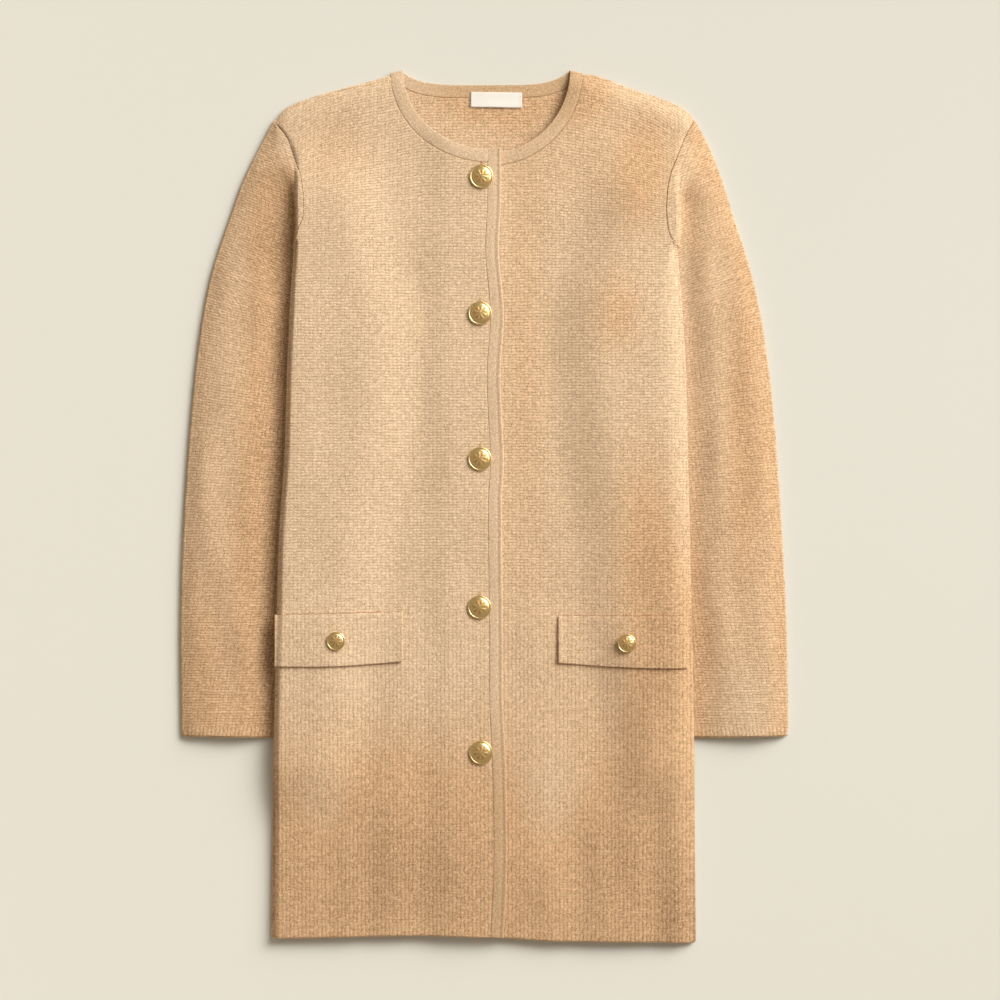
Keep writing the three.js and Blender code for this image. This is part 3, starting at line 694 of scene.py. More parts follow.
sleeves = {
    "low": 1.1,  # lower layer
    "high": 4.1,  # upper layer at its folds
    "crown": 5.2,
    "crownRun": 30,  # from the body out to the full crown
    "capCrown": 1.6,
    "capRoll": 7,
    "capSink": 0.4,  # of the cap under the seam that it starts from
    "roll": 26,
    "middle": 240,  # of a sleeve, from the middle of the body
    "courseScale": 1.085,
    "tilt": 0.42,  # of the courses at the shoulder
    "stepColumns": 14,  # across the drop beside the armhole
    "openColumns": 34,
    "drop": 3.2,  # from the body down to the sleeve, beside the fold
    "shoulderDrop": 26,  # and near the shoulder tip
    "cuffDroop": 0.016,
    "unevenness": 1.5,  # of the upper layer
}
sleeveRows = table(
    "start end rows",
    (368, 254, 50), (253, 246, 15), (244, 170, 34), (167, -200, 120), (-202, -221, 14),
)
halfTurn = np.radians(np.arange(15, 180, 15))


def sleeveGrid(name):
    sign = side[name]
    radius = (sleeves["high"] - sleeves["low"]) / 2
    rows = [np.linspace(part["start"], part["end"], part["rows"]) for part in sleeveRows]
    y = np.concatenate(rows)[:, None]
    joined = changed("sewnSleeve", y)
    inner = follow(sleeveInner, y, name) + sign * (radius + half)
    sewn = edgeX(name, y) + sign * (cloth["armholeInset"] + cloth["seamGap"] / 2)
    start = mix(inner, sewn, joined)
    end = follow(sleeveOuter, y, name) - sign * (radius + half)
    fold = foldX(name, y)
    foot = np.maximum(sign * fold + 3 * joined, sign * start + 0.8)
    foot = sign * np.minimum(foot, sign * mix(start, end, 0.5))
    step = mix(start, foot, np.linspace(0, 1, sleeves["stepColumns"]))
    x = np.concatenate([step, mix(foot, end, np.linspace(0, 1, sleeves["openColumns"] + 1)[1:])], 1)
    laid = y + sleeves["cuffDroop"] * (np.abs(x) - sleeves["middle"]) * changed("cuffDroop", y)
    beside, fromEnd = sign * (x - fold), sign * (end - x)

    # the upper layer: a crown down the sleeve, a slope over its cap, and a drop beside the body
    fromBody = mix(ease((beside - 3) / sleeves["crownRun"]), 1, changed("capCrown", laid))
    crown = sleeves["crown"] * fromBody * rounded(fromEnd / sleeves["roll"])
    seamHeight = frontMid(sewn, y)
    slope = np.clip(fromEnd / (sign * (end - sewn)), 0, 1)
    rise = seamHeight - sleeves["high"] - sleeves["capCrown"] - sleeves["capSink"]
    cap = (sleeves["capCrown"] + rise * slope) * rounded(fromEnd / sleeves["capRoll"])
    atCap = changed("cap", laid)
    crown = mix(crown, cap, atCap)
    uneven = sleeves["unevenness"] * rippleAt(x * 1.7 + 90, laid)
    uneven = uneven * ease((beside - 2) / 20) * ease(fromEnd / 20)
    upper = sleeves["high"] + crown + np.maximum(uneven, -crown * 0.8)
    dropRun = mix(sleeves["drop"], sleeves["shoulderDrop"], changed("capDrop", laid))
    dropRun = np.minimum(dropRun, sign * (end - fold) * 0.85)
    besideBody = mix(frontMid(x, laid), seamHeight, atCap)
    upper = mix(upper, mix(besideBody, upper, ease((beside + 0.5) / dropRun)), joined)
    lower = mix(backMid(x, laid), sleeves["low"], ease((beside + 4.2) / 5.5))
    lower = mix(sleeves["low"], lower, joined)

    tilt = sleeves["tilt"] * changed("sleeveTilt", y)
    course = lambda px, py: sleeves["courseScale"] * (py - tilt * (np.abs(px) - sleeves["middle"]))
    across = np.abs(x - x[:, :1])
    around = across[:, -1:]
    top = flatGrid(x, laid, upper, 1, u=across, v=course(x, laid))
    # painted shadow: the sleeve is darkened beside the body, where the body's raised edge shades it
    tucked = changed("tuckShadowFoot", laid) * changed("tuckShadowTop", laid) * ease((beside - 0.5) / 2.5)
    tucked = tucked * np.exp(-(np.maximum(beside, 0) / tone["tuckShadowRun"]) ** 1.3)
    top["tone"] = top["tone"] * (1 - tone["tucked"][name] * tucked)
    # painted shade along the outer fold
    top["tone"] -= tone["outer"][name] * ridge(fromEnd, tone["outerShadeRun"])
    under = flatGrid(x, laid, lower, -1, u=2 * around + math.pi * radius - across, v=course(x, laid))
    under = turned(backwards(turned(under)))
    endY = laid[:, -1:]
    height = (sleeves["high"] + sleeves["low"]) / 2 + radius * np.cos(halfTurn)
    outerFold = flatGrid(
        end + sign * radius * np.sin(halfTurn), endY, height, 0,
        u=around + radius * halfTurn, v=course(end, endY),
    )
    outerFold["facing"][..., 0] = sign * np.sin(halfTurn)
    outerFold["facing"][..., 2] = np.cos(halfTurn)
    curl = (1 - joined)[:, 0]
    reach = mix(radius + half, cloth["armholeInset"], joined)[:, 0]
    top = growSide(top, "first", (-sign, 0), curl, 1, radius=radius, plainReach=reach)
    under = growSide(under, "last", (-sign, 0), curl, -1, radius=radius, plainReach=reach)
    grid = joinGrids([top, outerFold, under], 1)
    grid = grow(grid, "last", (0, -1), 0, 1, count=3, plainReach=cloth["edgeInset"])
    return grow(grid, "first", (0, 1), 0, 1, count=4, plainReach=2 * cloth["edgeInset"])


# Bands

neckband = {
    "frontRows": 70,
    "backRows": 80,
    "columns": 9,
    "crown": 0.35,
    "freeInset": 0.9,
    "sewnInset": 0.54,
    "sewnReach": 0.5,
    "frontLength": 88,  # of knit for each radian round the neck
    "backLength": 86,  # and for half of the back
    "backFrom": 140,
}


def neckbandGrid():
    a = np.linspace(0, 1, neckband["columns"])[None]
    across = mix(neckband["freeInset"], cloth["bandWidth"] - neckband["sewnInset"], a)

    def strip(free, sewn, heightAt, way, length):
        places = mix(free[:, None], sewn[:, None], (across / cloth["bandWidth"])[..., None])
        x, y = places[..., 0], places[..., 1]
        crown = (neckband["crown"] if way > 0 else 0) * (1 - (2 * a - 1) ** 2)
        return flatGrid(x, y, heightAt(x, y) + crown, way, u=length[:, None], v=across)

    def front(name):
        angles = neckAngles(name, neckband["frontRows"])
        free, sewn = neckPoint(name, angles, 0), neckPoint(name, angles, cloth["bandWidth"])
        return strip(free, sewn, fronts[name], 1, -side[name] * angles * neckband["frontLength"])

    places = -np.cos(np.linspace(0, math.pi, neckband["backRows"] + 1))
    length = neckband["backFrom"] + (places + 1) * neckband["backLength"]
    back = strip(backNeckPoint(backNeck, places), backNeckPoint(backNeckSeam, places), backMid, -1, length)

    def shoulderTurn(frontGrid, k):
        first = {key: value[0] for key, value in frontGrid.items()}
        last = back["point"][k]
        gap = (first["point"][:, 2] - last[:, 2]) / 2
        rows = []
        for angle in halfTurn:
            point = mix(first["point"], last, angle / math.pi)
            point[:, 1] += gap * math.sin(angle)
            point[:, 2] = last[:, 2] + gap * (1 + math.cos(angle))
            facing = np.tile([0, math.sin(angle), math.cos(angle)], (len(gap), 1))
            knit = first["knit"] + np.array([gap[0] * angle, 0])
            rows.append(dict(first, point=point, facing=facing, knit=knit))
        return stackRows(rows)

    right, left = front("right"), front("left")
    return roundedStrip(joinGrids([
        backwards(right), shoulderTurn(right, 0), back, backwards(shoulderTurn(left, -1)), left,
    ], 0))


def roundedStrip(grid):
    # rounds both long edges of a strip, whatever way it faces
    across = grid["point"][:, -1] - grid["point"][:, 0]
    across /= np.linalg.norm(across, axis=1)[:, None]

    def rounding(column, sign, reach, count=5):
        edge = {key: value[:, column] for key, value in grid.items()}
        rows = []
        for k in range(1, count + 1):
            angle = k / count * math.pi / 2
            rows.append(dict(
                edge,
                point=edge["point"] + sign * across * reach * math.sin(angle),
                share=np.full(len(across), math.cos(angle) * 0.9 + 0.1),
                knit=edge["knit"] + np.array([0, sign * reach * k / count]),
            ))
        return stackRows(rows[::sign], 1)

    return joinGrids([
        rounding(0, -1, neckband["freeInset"]), grid, rounding(-1, 1, neckband["sewnReach"]),
    ], 1)


frontBand = {
    "thickness": 2.6,
    "rows": 300,
    "columns": 14,
    "seamInset": 0.6,
    "edgeInset": 1.1,
    "seamReach": 0.9,
    "bead": 0.55,  # along the free edge
    "beadAt": 0.4,
    "beadWidth": 2.2,
    "valley": 0.25,  # beside the bead
    "valleyAt": 3.2,
    "valleyWidth": 2.4,
    "crown": 0.2,
    "endRun": 14,  # its ends are cut to the neck and the hem within this length
    "footX": 8.0,
    "topFrom": 6,  # its top is measured this far from its seam
}


def frontBandGrid():
    oval = neckEdges["right"]
    neckAt = lambda x: oval["y"] - oval["down"] * np.sqrt(1 - ((x - oval["x"]) / oval["across"]) ** 2)
    top = neckAt(seamX(lowestSeam("right")) + frontBand["topFrom"])
    y = np.linspace(hemAt(frontBand["footX"]), top, frontBand["rows"])[:, None]
    widest = cloth["bandWidth"] - frontBand["edgeInset"]
    offset = np.linspace(cloth["seamGap"] / 2 + frontBand["seamInset"], widest, frontBand["columns"])[None]
    x = seamX(y) + offset
    atTop = ease(1 + (y - y[-1]) / frontBand["endRun"])
    atFoot = 1 - ease((y - y[0]) / frontBand["endRun"])
    cut = y + atTop * (neckAt(x) - y[-1]) + atFoot * (hemAt(x) - y[0])
    fromEdge = widest - offset
    bead = frontBand["bead"] * ridge(fromEdge - frontBand["beadAt"], frontBand["beadWidth"] / 2)
    valley = frontBand["valley"] * ridge(fromEdge - frontBand["valleyAt"], frontBand["valleyWidth"] / 2)
    crown = frontBand["crown"] * (1 - (2 * offset / cloth["bandWidth"] - 1) ** 2)
    z = overMid(x, y) + (frontBand["thickness"] - cloth["wall"]) / 2 + bead - valley + crown
    grid = flatGrid(x, cut, z, 1, u=y, v=offset)
    reaches = (frontBand["seamReach"], frontBand["edgeInset"])
    return growPlain(grid, 1, reaches, cloth["edgeInset"], low=3, high=4)


# Pocket flaps

flaps = {
    "right": {
        "inner": -78.3, "outer": -200.5, "top": -102, "outerTop": -104.6,
        "bottom": -149.7, "outerBottom": -154, "dip": 2, "button": (-141.6, -129.6),
    },
    "left": {
        "inner": 70.8, "outer": 194.2, "top": -106.2, "outerTop": -105.6,
        "bottom": -150.9, "outerBottom": -156, "dip": 1.6, "button": (136, -131.8),
    },
    "wall": 2,
    "air": 0.4,
    "width": 122,
    "height": 50,
    "columns": 64,
    "rows": 26,
    "kick": 0.6,  # the free edges stand off the front this much
    "innerKick": 1.3,  # of the inner edge, in kicks
    "sewnDip": 0.5,  # of the sewn edge
}


def flapMid(name, x, y):
    limit = np.abs(foldX(name, y)) - foldInset - 1
    held = side[name] * np.minimum(side[name] * np.asarray(x, float), limit)
    return fronts[name](held, y) + (cloth["wall"] + flaps["wall"]) / 2 + flaps["air"]


def flapGrid(name):
    flap = flaps[name]
    inset = cloth["edgeInset"]
    u = np.linspace(inset / flaps["width"], 1 - inset / flaps["width"], flaps["columns"])[None]
    v = np.linspace(inset / flaps["height"], 1 - inset / flaps["height"], flaps["rows"])[:, None]
    topY = mix(flap["top"], flap["outerTop"], u)
    bottomY = mix(flap["bottom"], flap["outerBottom"], u) - flap["dip"] * np.sin(math.pi * u)
    x = mix(flap["inner"], flap["outer"], u) + 0 * v
    y = mix(bottomY, topY, v)
    loose = ease((0.55 - v) / 0.55) * (0.6 + 0.4 * np.cos(5.1 * u + side[name]))
    loose = loose + flaps["innerKick"] * ease((0.06 - u) / 0.06) * ease((0.97 - v) / 0.3)
    z = flapMid(name, x, y) + flaps["kick"] * loose - flaps["sewnDip"] * ease((v - 0.93) / 0.07)
    return growPlain(flatGrid(x, y, z, 1), side[name], inset, inset)


# Shader groups: each gives only masks and heights, for a material to use


def newGroup(name, kind, inputs, outputs):
    tree = bpy.data.node_groups.new(name, kind)
    for label, socketKind, value in inputs:
        socket = tree.interface.new_socket(label, in_out="INPUT", socket_type="NodeSocket" + socketKind)
        if value is not None:
            socket.default_value = value
    for label, socketKind in outputs:
        tree.interface.new_socket(label, in_out="OUTPUT", socket_type="NodeSocket" + socketKind)
    return tree, tree.nodes.new("NodeGroupInput").outputs, tree.nodes.new("NodeGroupOutput").inputs


def plug(tree, socket, value):
    if isinstance(value, bpy.types.NodeSocket):
        tree.links.new(value, socket)
    else:
        socket.default_value = value


def feed(tree, node, values):
    for key, value in values.items():
        plug(tree, node.inputs[key], value)
    return node


def calc(tree, operation, *values):
    node = tree.nodes.new("ShaderNodeMath")
    node.operation = operation
    return feed(tree, node, dict(enumerate(values))).outputs[0]


def plus(tree, first, *others):
    for other in others:
        first = calc(tree, "ADD", first, other)
    return first


def minus(tree, first, second):
    return calc(tree, "SUBTRACT", first, second)


def times(tree, first, second):
    return calc(tree, "MULTIPLY", first, second)


def noiseOf(tree, vector, scale, detail=2.0, roughness=0.5):
    node = tree.nodes.new("ShaderNodeTexNoise")
    values = {"Vector": vector, "Scale": scale, "Detail": detail, "Roughness": roughness}
    return feed(tree, node, values).outputs["Fac"]


def remap(tree, value, low, high, toLow=0.0, toHigh=1.0, smooth=False):
    node = tree.nodes.new("ShaderNodeMapRange")
    node.interpolation_type = "SMOOTHSTEP" if smooth else "LINEAR"
    return feed(tree, node, dict(enumerate((value, low, high, toLow, toHigh)))).outputs[0]


def vectorOf(tree, x, y, z=0.0):
    return feed(tree, tree.nodes.new("ShaderNodeCombineXYZ"), {0: x, 1: y, 2: z}).outputs[0]


def partsOf(tree, vector):
    return feed(tree, tree.nodes.new("ShaderNodeSeparateXYZ"), {0: vector}).outputs


def hashOf(tree, vector):
    node = tree.nodes.new("ShaderNodeTexWhiteNoise")
    node.noise_dimensions = "2D"
    return feed(tree, node, {"Vector": vector}).outputs["Value"]


def makeStitchGroup():
    # courses of purl-like bumps, uneven as hand-fed yarn is, with a tone for each stitch
    tree, given, result = newGroup(
        "KnitStitches", "ShaderNodeTree",
        [("Knit", "Vector", None), ("Wale", "Float", 0.002), ("Course", "Float", 0.002),
         ("Wander", "Float", 0.5), ("Rib", "Float", 0.0)],
        [("Height", "Float"), ("Tone", "Float"), ("Gap", "Float")],
    )
    knit, rib = given["Knit"], given["Rib"]
    parts = partsOf(tree, knit)
    wander = times(tree, minus(tree, noiseOf(tree, knit, 190, 3), 0.5), given["Wander"])
    sway = times(tree, minus(tree, noiseOf(tree, knit, 30, 2), 0.5), 1.1)
    course = calc(tree, "DIVIDE", parts[1], given["Course"])
    course = plus(tree, course, times(tree, wander, 1.6), sway)
    row = calc(tree, "FLOOR", course)
    slip = times(tree, hashOf(tree, vectorOf(tree, row, 3.7)), 0.18)
    wale = plus(tree, calc(tree, "DIVIDE", parts[0], given["Wale"]), wander, slip)
    tone = hashOf(tree, vectorOf(tree, row, calc(tree, "FLOOR", wale)))
    arch = lambda at: calc(tree, "SINE", times(tree, calc(tree, "FRACT", at), math.pi))
    up = arch(course)
    up = plus(tree, up, times(tree, rib, minus(tree, 0.85, up)))
    between = remap(tree, rib, 0, 1, 0.45, 0.1)
    bump = times(tree, calc(tree, "POWER", up, 0.8), remap(tree, arch(wale), 0, 1, between, 1.0))
    height = times(tree, bump, remap(tree, tone, 0, 1, 0.55, 1.0))
    fuzz = times(tree, noiseOf(tree, knit, 2600, 3, 0.65), 0.35)
    patchy = remap(tree, noiseOf(tree, knit, 240, 2), 0.35, 0.65, 0.55, 1.35)
    plug(tree, result["Height"], plus(tree, height, fuzz))
    plug(tree, result["Tone"], tone)
    plug(tree, result["Gap"], times(tree, minus(tree, 1.0, bump), patchy))
    return tree


def makeHeatherGroup():
    # mixed light and dark fibres, and slow changes of tone over the cloth
    tree, given, result = newGroup(
        "YarnHeather", "ShaderNodeTree",
        [("Knit", "Vector", None), ("Fleck Size", "Float", 0.0024)],
        [("Fleck", "Float"), ("Fuzz", "Float"), ("Cloud", "Float")],
    )
    size = given["Fleck Size"]
    stretch = tree.nodes.new("ShaderNodeVectorMath")
    stretch.operation = "DIVIDE"
    feed(tree, stretch, {0: given["Knit"], 1: vectorOf(tree, times(tree, size, 1.1), size, 1.0)})
    fibres = stretch.outputs[0]
    plug(tree, result["Fleck"], remap(tree, noiseOf(tree, fibres, 1.0, 3, 0.75), 0.28, 0.72))
    plug(tree, result["Fuzz"], remap(tree, noiseOf(tree, fibres, 2.1, 1), 0.3, 0.7))
    plug(tree, result["Cloud"], remap(tree, noiseOf(tree, given["Knit"], 16, 3), 0.3, 0.7))
    return tree


stitchGroup = makeStitchGroup()
heatherGroup = makeHeatherGroup()


def newMaterial(name):
    material = bpy.data.materials.new(name)
    material.use_nodes = True
    tree = material.node_tree
    shader = next(node for node in tree.nodes if node.type == "BSDF_PRINCIPLED")
    return material, tree, shader


def useGroup(tree, group, **values):
    node = tree.nodes.new("ShaderNodeGroup")
    node.node_tree = group
    return feed(tree, node, values).outputs


def mixColor(tree, factor, first, second, kind="MIX"):
    node = tree.nodes.new("ShaderNodeMix")
    node.data_type = "RGBA"
    node.blend_type = kind
    return feed(tree, node, {0: factor, 6: first, 7: second}).outputs[2]


def addBump(tree, shader, height, distance):
    bump = feed(tree, tree.nodes.new("ShaderNodeBump"), {"Height": height, "Distance": distance})
    plug(tree, shader.inputs["Normal"], bump.outputs[0])


def attributeOf(tree, name):
    node = tree.nodes.new("ShaderNodeAttribute")
    node.attribute_name = name
    return node.outputs["Fac"]


def knitPlace(tree):
    node = tree.nodes.new("ShaderNodeUVMap")
    node.uv_map = "knit"
    return node.outputs[0]


def tint(r, g, b):
    # a paint colour named in 0 to 255 steps
    linear = lambda c: ((c / 255 + 0.055) / 1.055) ** 2.4 if c > 10 else c / 255 / 12.92
    return (linear(r), linear(g), linear(b), 1.0)


knitLook = {
    "wale": 0.0038,
    "course": 0.00278,
    "pale": tint(222, 196, 165),
    "middle": tint(213, 176, 137),
    # deep is the colour that painted shade darkens the yarn towards, below the middle level
    "deep": tint(122, 88, 56),
    "middleLevel": 0.85,  # the tone at which the yarn is neither pale nor deep
    "deepContrast": 1.6,  # how much more the fibres differ where the yarn is deep
    "fleck": 0.3,  # how much light and dark fibres differ
    "fuzz": 0.42,
    "stitch": 0.15,  # and one stitch from the next
    "cloud": 0.05,
    "hollow": 0.24,  # how dark the gaps between stitches go
    "light": 0.97,
    "warmth": (1.0, 1.15, 1.4),  # red, green and blue fall off by these powers in the dark
    "bump": 0.00026,
    "roughness": 0.92,
    "gloss": 0.15,
    "sheen": 0.25,
    "sheenTint": tint(255, 232, 205),
}


def makeKnit(name, look):
    material, tree, shader = newMaterial(name)
    place = knitPlace(tree)
    stitches = useGroup(
        tree, stitchGroup, Knit=place, Wale=look["wale"], Course=look["course"],
        Rib=attributeOf(tree, "rib"),
    )
    heather = useGroup(tree, heatherGroup, Knit=place)
    # the tone attribute holds the yarn's tone with painted shade and light in it
    level = attributeOf(tree, "tone")
    yarn = mixColor(tree, remap(tree, level, 0.0, look["middleLevel"]), look["deep"], look["middle"])
    yarn = mixColor(tree, remap(tree, level, look["middleLevel"], 1.0), yarn, look["pale"])
    shade = plus(
        tree,
        remap(tree, heather["Fleck"], 0, 1, look["fleck"], 0),
        remap(tree, stitches["Tone"], 0, 1, look["stitch"], 0),
        remap(tree, heather["Fuzz"], 0, 1, look["fuzz"], 0),
        remap(tree, heather["Cloud"], 0, 1, 0, look["cloud"]),
        remap(tree, stitches["Gap"], 0.15, 1.0, 0, look["hollow"], True),
    )
    mean = (look["fleck"] + look["fuzz"] + look["stitch"]) / 2 + 0.35 * look["hollow"]
    strength = remap(tree, level, 0.6, 1.0, look["deepContrast"], 1.0)
    lit = plus(tree, look["light"], times(tree, minus(tree, mean, shade), strength))
    color = vectorOf(tree, *(calc(tree, "POWER", lit, power) for power in look["warmth"]))
    feed(tree, shader, {
        "Base Color": mixColor(tree, 1.0, yarn, color, "MULTIPLY"),
        "Roughness": look["roughness"],
        "Specular IOR Level": look["gloss"],
        "Sheen Weight": look["sheen"],
        "Sheen Roughness": 0.6,
        "Sheen Tint": look["sheenTint"],
    })
    addBump(tree, shader, stitches["Height"], look["bump"])
    return material


bandLook = dict(
    knitLook, wale=0.0012, course=0.0011, pale=tint(228, 203, 173), middle=tint(215, 181, 143),
    fuzz=0.3, stitch=0.1, hollow=0.1, bump=0.0003,
)

knitMaterial = makeKnit("Knit", knitLook)
bandMaterial = makeKnit("BandJersey", bandLook)

goldLook = {
    "bright": tint(255, 232, 172),
    "hollow": tint(206, 152, 82),
    "roughness": 0.28,
    "hollowRoughness": 0.55,
}


def makeGold():
    material, tree, shader = newMaterial("GoldMetal")
    dull = remap(tree, attributeOf(tree, "hollow"), 0, 1, smooth=True)
    feed(tree, shader, {
        "Base Color": mixColor(tree, dull, goldLook["bright"], goldLook["hollow"]),
        "Metallic": 1.0,
        "Roughness": remap(tree, dull, 0, 1, goldLook["roughness"], goldLook["hollowRoughness"]),
    })
    return material


goldMaterial = makeGold()

labelLook = {
    "wale": 0.0007,
    "course": 0.0005,
    "wander": 0.1,
    "pale": tint(244, 241, 234),
    "deep": tint(190, 180, 165),
    "hollow": 0.12,
    "bump": 0.0001,
    "roughness": 0.6,
}


def makeLabelCloth():
    material, tree, shader = newMaterial("LabelWeave")
    weave = useGroup(
        tree, stitchGroup, Knit=knitPlace(tree), Wale=labelLook["wale"], Course=labelLook["course"],
        Wander=labelLook["wander"],
    )
    gap = times(tree, weave["Gap"], labelLook["hollow"])
    feed(tree, shader, {
        "Base Color": mixColor(tree, gap, labelLook["pale"], labelLook["deep"]),
        "Roughness": labelLook["roughness"],
    })
    addBump(tree, shader, weave["Height"], labelLook["bump"])
    return material


labelMaterial = makeLabelCloth()
print("materials made")

# Cloth pieces


def dress(piece, material, node):
    piece.data.materials.append(material)
    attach(piece, "root")
    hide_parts(node)
    return piece


clothPieces = {
    "backPanel": (backPanel(), cloth["wall"], knitMaterial, "knit", "back_panel"),
    "frontLeft": (frontPanel("left"), cloth["wall"], knitMaterial, "knit", "front_left"),
    "frontRight": (frontPanel("right"), cloth["wall"], knitMaterial, "knit", "front_right"),
    "sleeveRight": (sleeveGrid("right"), cloth["wall"], knitMaterial, "knit", "sleeve_right"),
    "sleeveLeft": (sleeveGrid("left"), cloth["wall"], knitMaterial, "knit", "sleeve_left"),
    "neckTrim": (neckbandGrid(), cloth["wall"], bandMaterial, "band", "neckband"),
    "frontBand": (frontBandGrid(), frontBand["thickness"], bandMaterial, "band", "front_band"),
    "flapRight": (flapGrid("right"), flaps["wall"], knitMaterial, "knit", "flap_right"),
    "flapLeft": (flapGrid("left"), flaps["wall"], knitMaterial, "knit", "flap_left"),
}
for name, (grid, thickness, material, slot, node) in clothPieces.items():
    dress(clothPiece(name, grid, thickness), material, node)

# Buttons

bigButton = {
    "radius": 11.3, "rim": 1.4, "dome": 4.6, "shankRadius": 1.5, "stand": 0.6, "around": 112, "out": 44,
}
smallButton = {
    "radius": 8.8, "rim": 1.1, "dome": 3.7, "shankRadius": 1.3, "stand": 1.5, "around": 96, "out": 38,
}
# Places on a button's face are shares of its radius
face = {
    "domeEdge": 0.86,
    "domeFall": 0.86,  # how far the dome comes down to its edge
    "domeSink": 0.35,
    "petals": 8,
    "petalHeight": 0.11,
    "petalAt": 0.42,
    "petalWidth": 0.16,
    "ringHeight": 0.16,
    "ringAt": 0.68,
    "ringWidth": 0.035,
    "bossHeight": 0.13,
    "bossWidth": 0.13,
    "bossLobes": 5,
    "lobeAt": 0.2,
    "lobeWidth": 0.07,
    "grooveDepth": 0.5,
    "grooveAt": 0.85,
    "grooveWidth": 0.028,
    "rimHeight": 0.62,
    "rimAt": 0.93,
    "rimWidth": 0.072,
    "beads": 40,
    "beadHeight": 0.06,
    "turns": (0.2, 1.1, 0.6, 2.0, 0.9),  # of the front buttons, in radians
    "flapTurn": 0.4,
}
# Its underside, as shares of the radius and of the rim's height
buttonUnder = table(
    "radius height", (1.0, 0.8), (0.99, 0.5), (0.95, 0.2), (0.84, 0.0), (0.3, 0.0),
)


def buttonTop(size, r, angle):
    # height of the face over the underside, and how sunken it is; r is 0 to 1
    arc = np.sqrt(np.maximum(1 - face["domeFall"] * (r / face["domeEdge"]) ** 2, 0))
    dome = size["rim"] + (size["dome"] - size["rim"]) * arc - face["domeSink"]
    petals = np.cos(angle * face["petals"]) * ridge(r - face["petalAt"], face["petalWidth"])
    ring = ridge(r - face["ringAt"], face["ringWidth"])
    lobes = np.cos(angle * face["bossLobes"]) * ridge(r - face["lobeAt"], face["lobeWidth"])
    boss = ridge(r, face["bossWidth"]) + 0.6 * lobes
    relief = face["petalHeight"] * petals + face["ringHeight"] * ring + face["bossHeight"] * boss
    groove = ridge(r - face["grooveAt"], face["grooveWidth"])
    bulge = np.sqrt(np.maximum(1 - ((r - face["rimAt"]) / face["rimWidth"]) ** 2, 0))
    rim = size["rim"] + face["rimHeight"] * bulge + face["beadHeight"] * np.cos(angle * face["beads"])
    onDome = r < face["domeEdge"]
    sunken = np.clip(0.5 - 4 * relief, 0, 1) * np.clip((0.8 - r) / 0.1, 0, 1) + groove
    height = np.where(onDome, dome + relief - face["grooveDepth"] * groove, rim)
    return height, np.clip(np.where(onDome, sunken, 0), 0, 1)


def buttonPiece(name, size, place, seat, turn):
    around, radius = size["around"], size["radius"]
    angle = np.linspace(0, 2 * math.pi, around, endpoint=False)[None]
    r = (np.linspace(0, 1, size["out"]) ** 0.9)[1:, None] * 0.998
    top, hollow = buttonTop(size, r, angle + turn)
    rings = list(zip(r * radius, top, hollow))
    rings += [(row["radius"] * radius, row["height"] * size["rim"], 0.3) for row in buttonUnder]
    foot = -size["stand"] - cloth["wall"] * 0.8
    rings += [(size["shankRadius"], 0.0, 0.6), (size["shankRadius"], foot, 0.6)]
    centreHeight, centreHollow = buttonTop(size, np.zeros(1), np.zeros(1))
    points, mask = [], []
    for distance, height, sunk in rings:
        x, y = distance * np.cos(angle[0]), distance * np.sin(angle[0])
        points.append(np.stack(np.broadcast_arrays(x, y, height), 1))
        mask.append(np.broadcast_to(sunk, around))
    points += [[[0, 0, centreHeight[0]]], [[0, 0, foot]]]
    mask += [centreHollow, [0.6]]
    places = np.concatenate(points) + np.array([place[0], place[1], seat])
    faces = []
    centre, last = len(places) - 2, (len(rings) - 1) * around
    for k in range(around):
        n = (k + 1) % around
        faces += [(centre, k, n), (centre + 1, last + n, last + k)]
        for row in range(0, last, around):
            faces.append((row + k, row + around + k, row + around + n, row + n))
    piece = addPiece(name, places, faces)
    addValues(piece, "hollow", np.concatenate(mask))
    return piece


for i, (node, place) in enumerate(buttonPlaces.items()):
    seat = float(overMid(*map(np.float64, place))) + half + bigButton["stand"]
    button = buttonPiece(f"frontButton{i + 1}", bigButton, place, seat, face["turns"][i])
    dress(button, goldMaterial, node)
for name, node in (("right", "flap_button_right"), ("left", "flap_button_left")):
    place = flaps[name]["button"]
    seat = float(flapMid(name, *map(np.float64, place))) + flaps["wall"] / 2 + smallButton["stand"]
    turn = face["flapTurn"] + side[name]
    button = buttonPiece("flapButton" + name.capitalize(), smallButton, place, seat, turn)
    dress(button, goldMaterial, node)
print("buttons made")

# The woven label inside the back neck

label = {
    "x": 11.3,
    "y": 389.9,
    "width": 49.5,
    "height": 14.6,
    "wall": 0.6,
    "turn": -0.8,
    "air": 0.35,
    "kick": 0.7,  # of its loose lower edge
    "seamInset": 0.6,
    "seamLength": 0.84,  # of its height
}


def labelPlace(px, py):
    turn = math.radians(label["turn"])
    x = label["x"] + px * math.cos(turn) - py * math.sin(turn)
    return x, label["y"] + px * math.sin(turn) + py * math.cos(turn)


def labelPiece():
    u, v = np.linspace(-0.5, 0.5, 44)[None], np.linspace(-0.5, 0.5, 16)[:, None]
    px, py = u * label["width"], v * label["height"]
    x, y = labelPlace(px, py)
    loose = ease((0.2 - v) / 0.7) * (0.6 + 0.4 * np.cos(7 * u))
    z = cloth["wall"] + label["air"] + label["wall"] / 2 + label["kick"] * loose
    return clothPiece("labelTape", flatGrid(x, y, z, 1, u=px, v=py), label["wall"])


dress(labelPiece(), labelMaterial, "label")

# Thread work: small stitches set along a path, as bars across it or as links of a cast-off chain

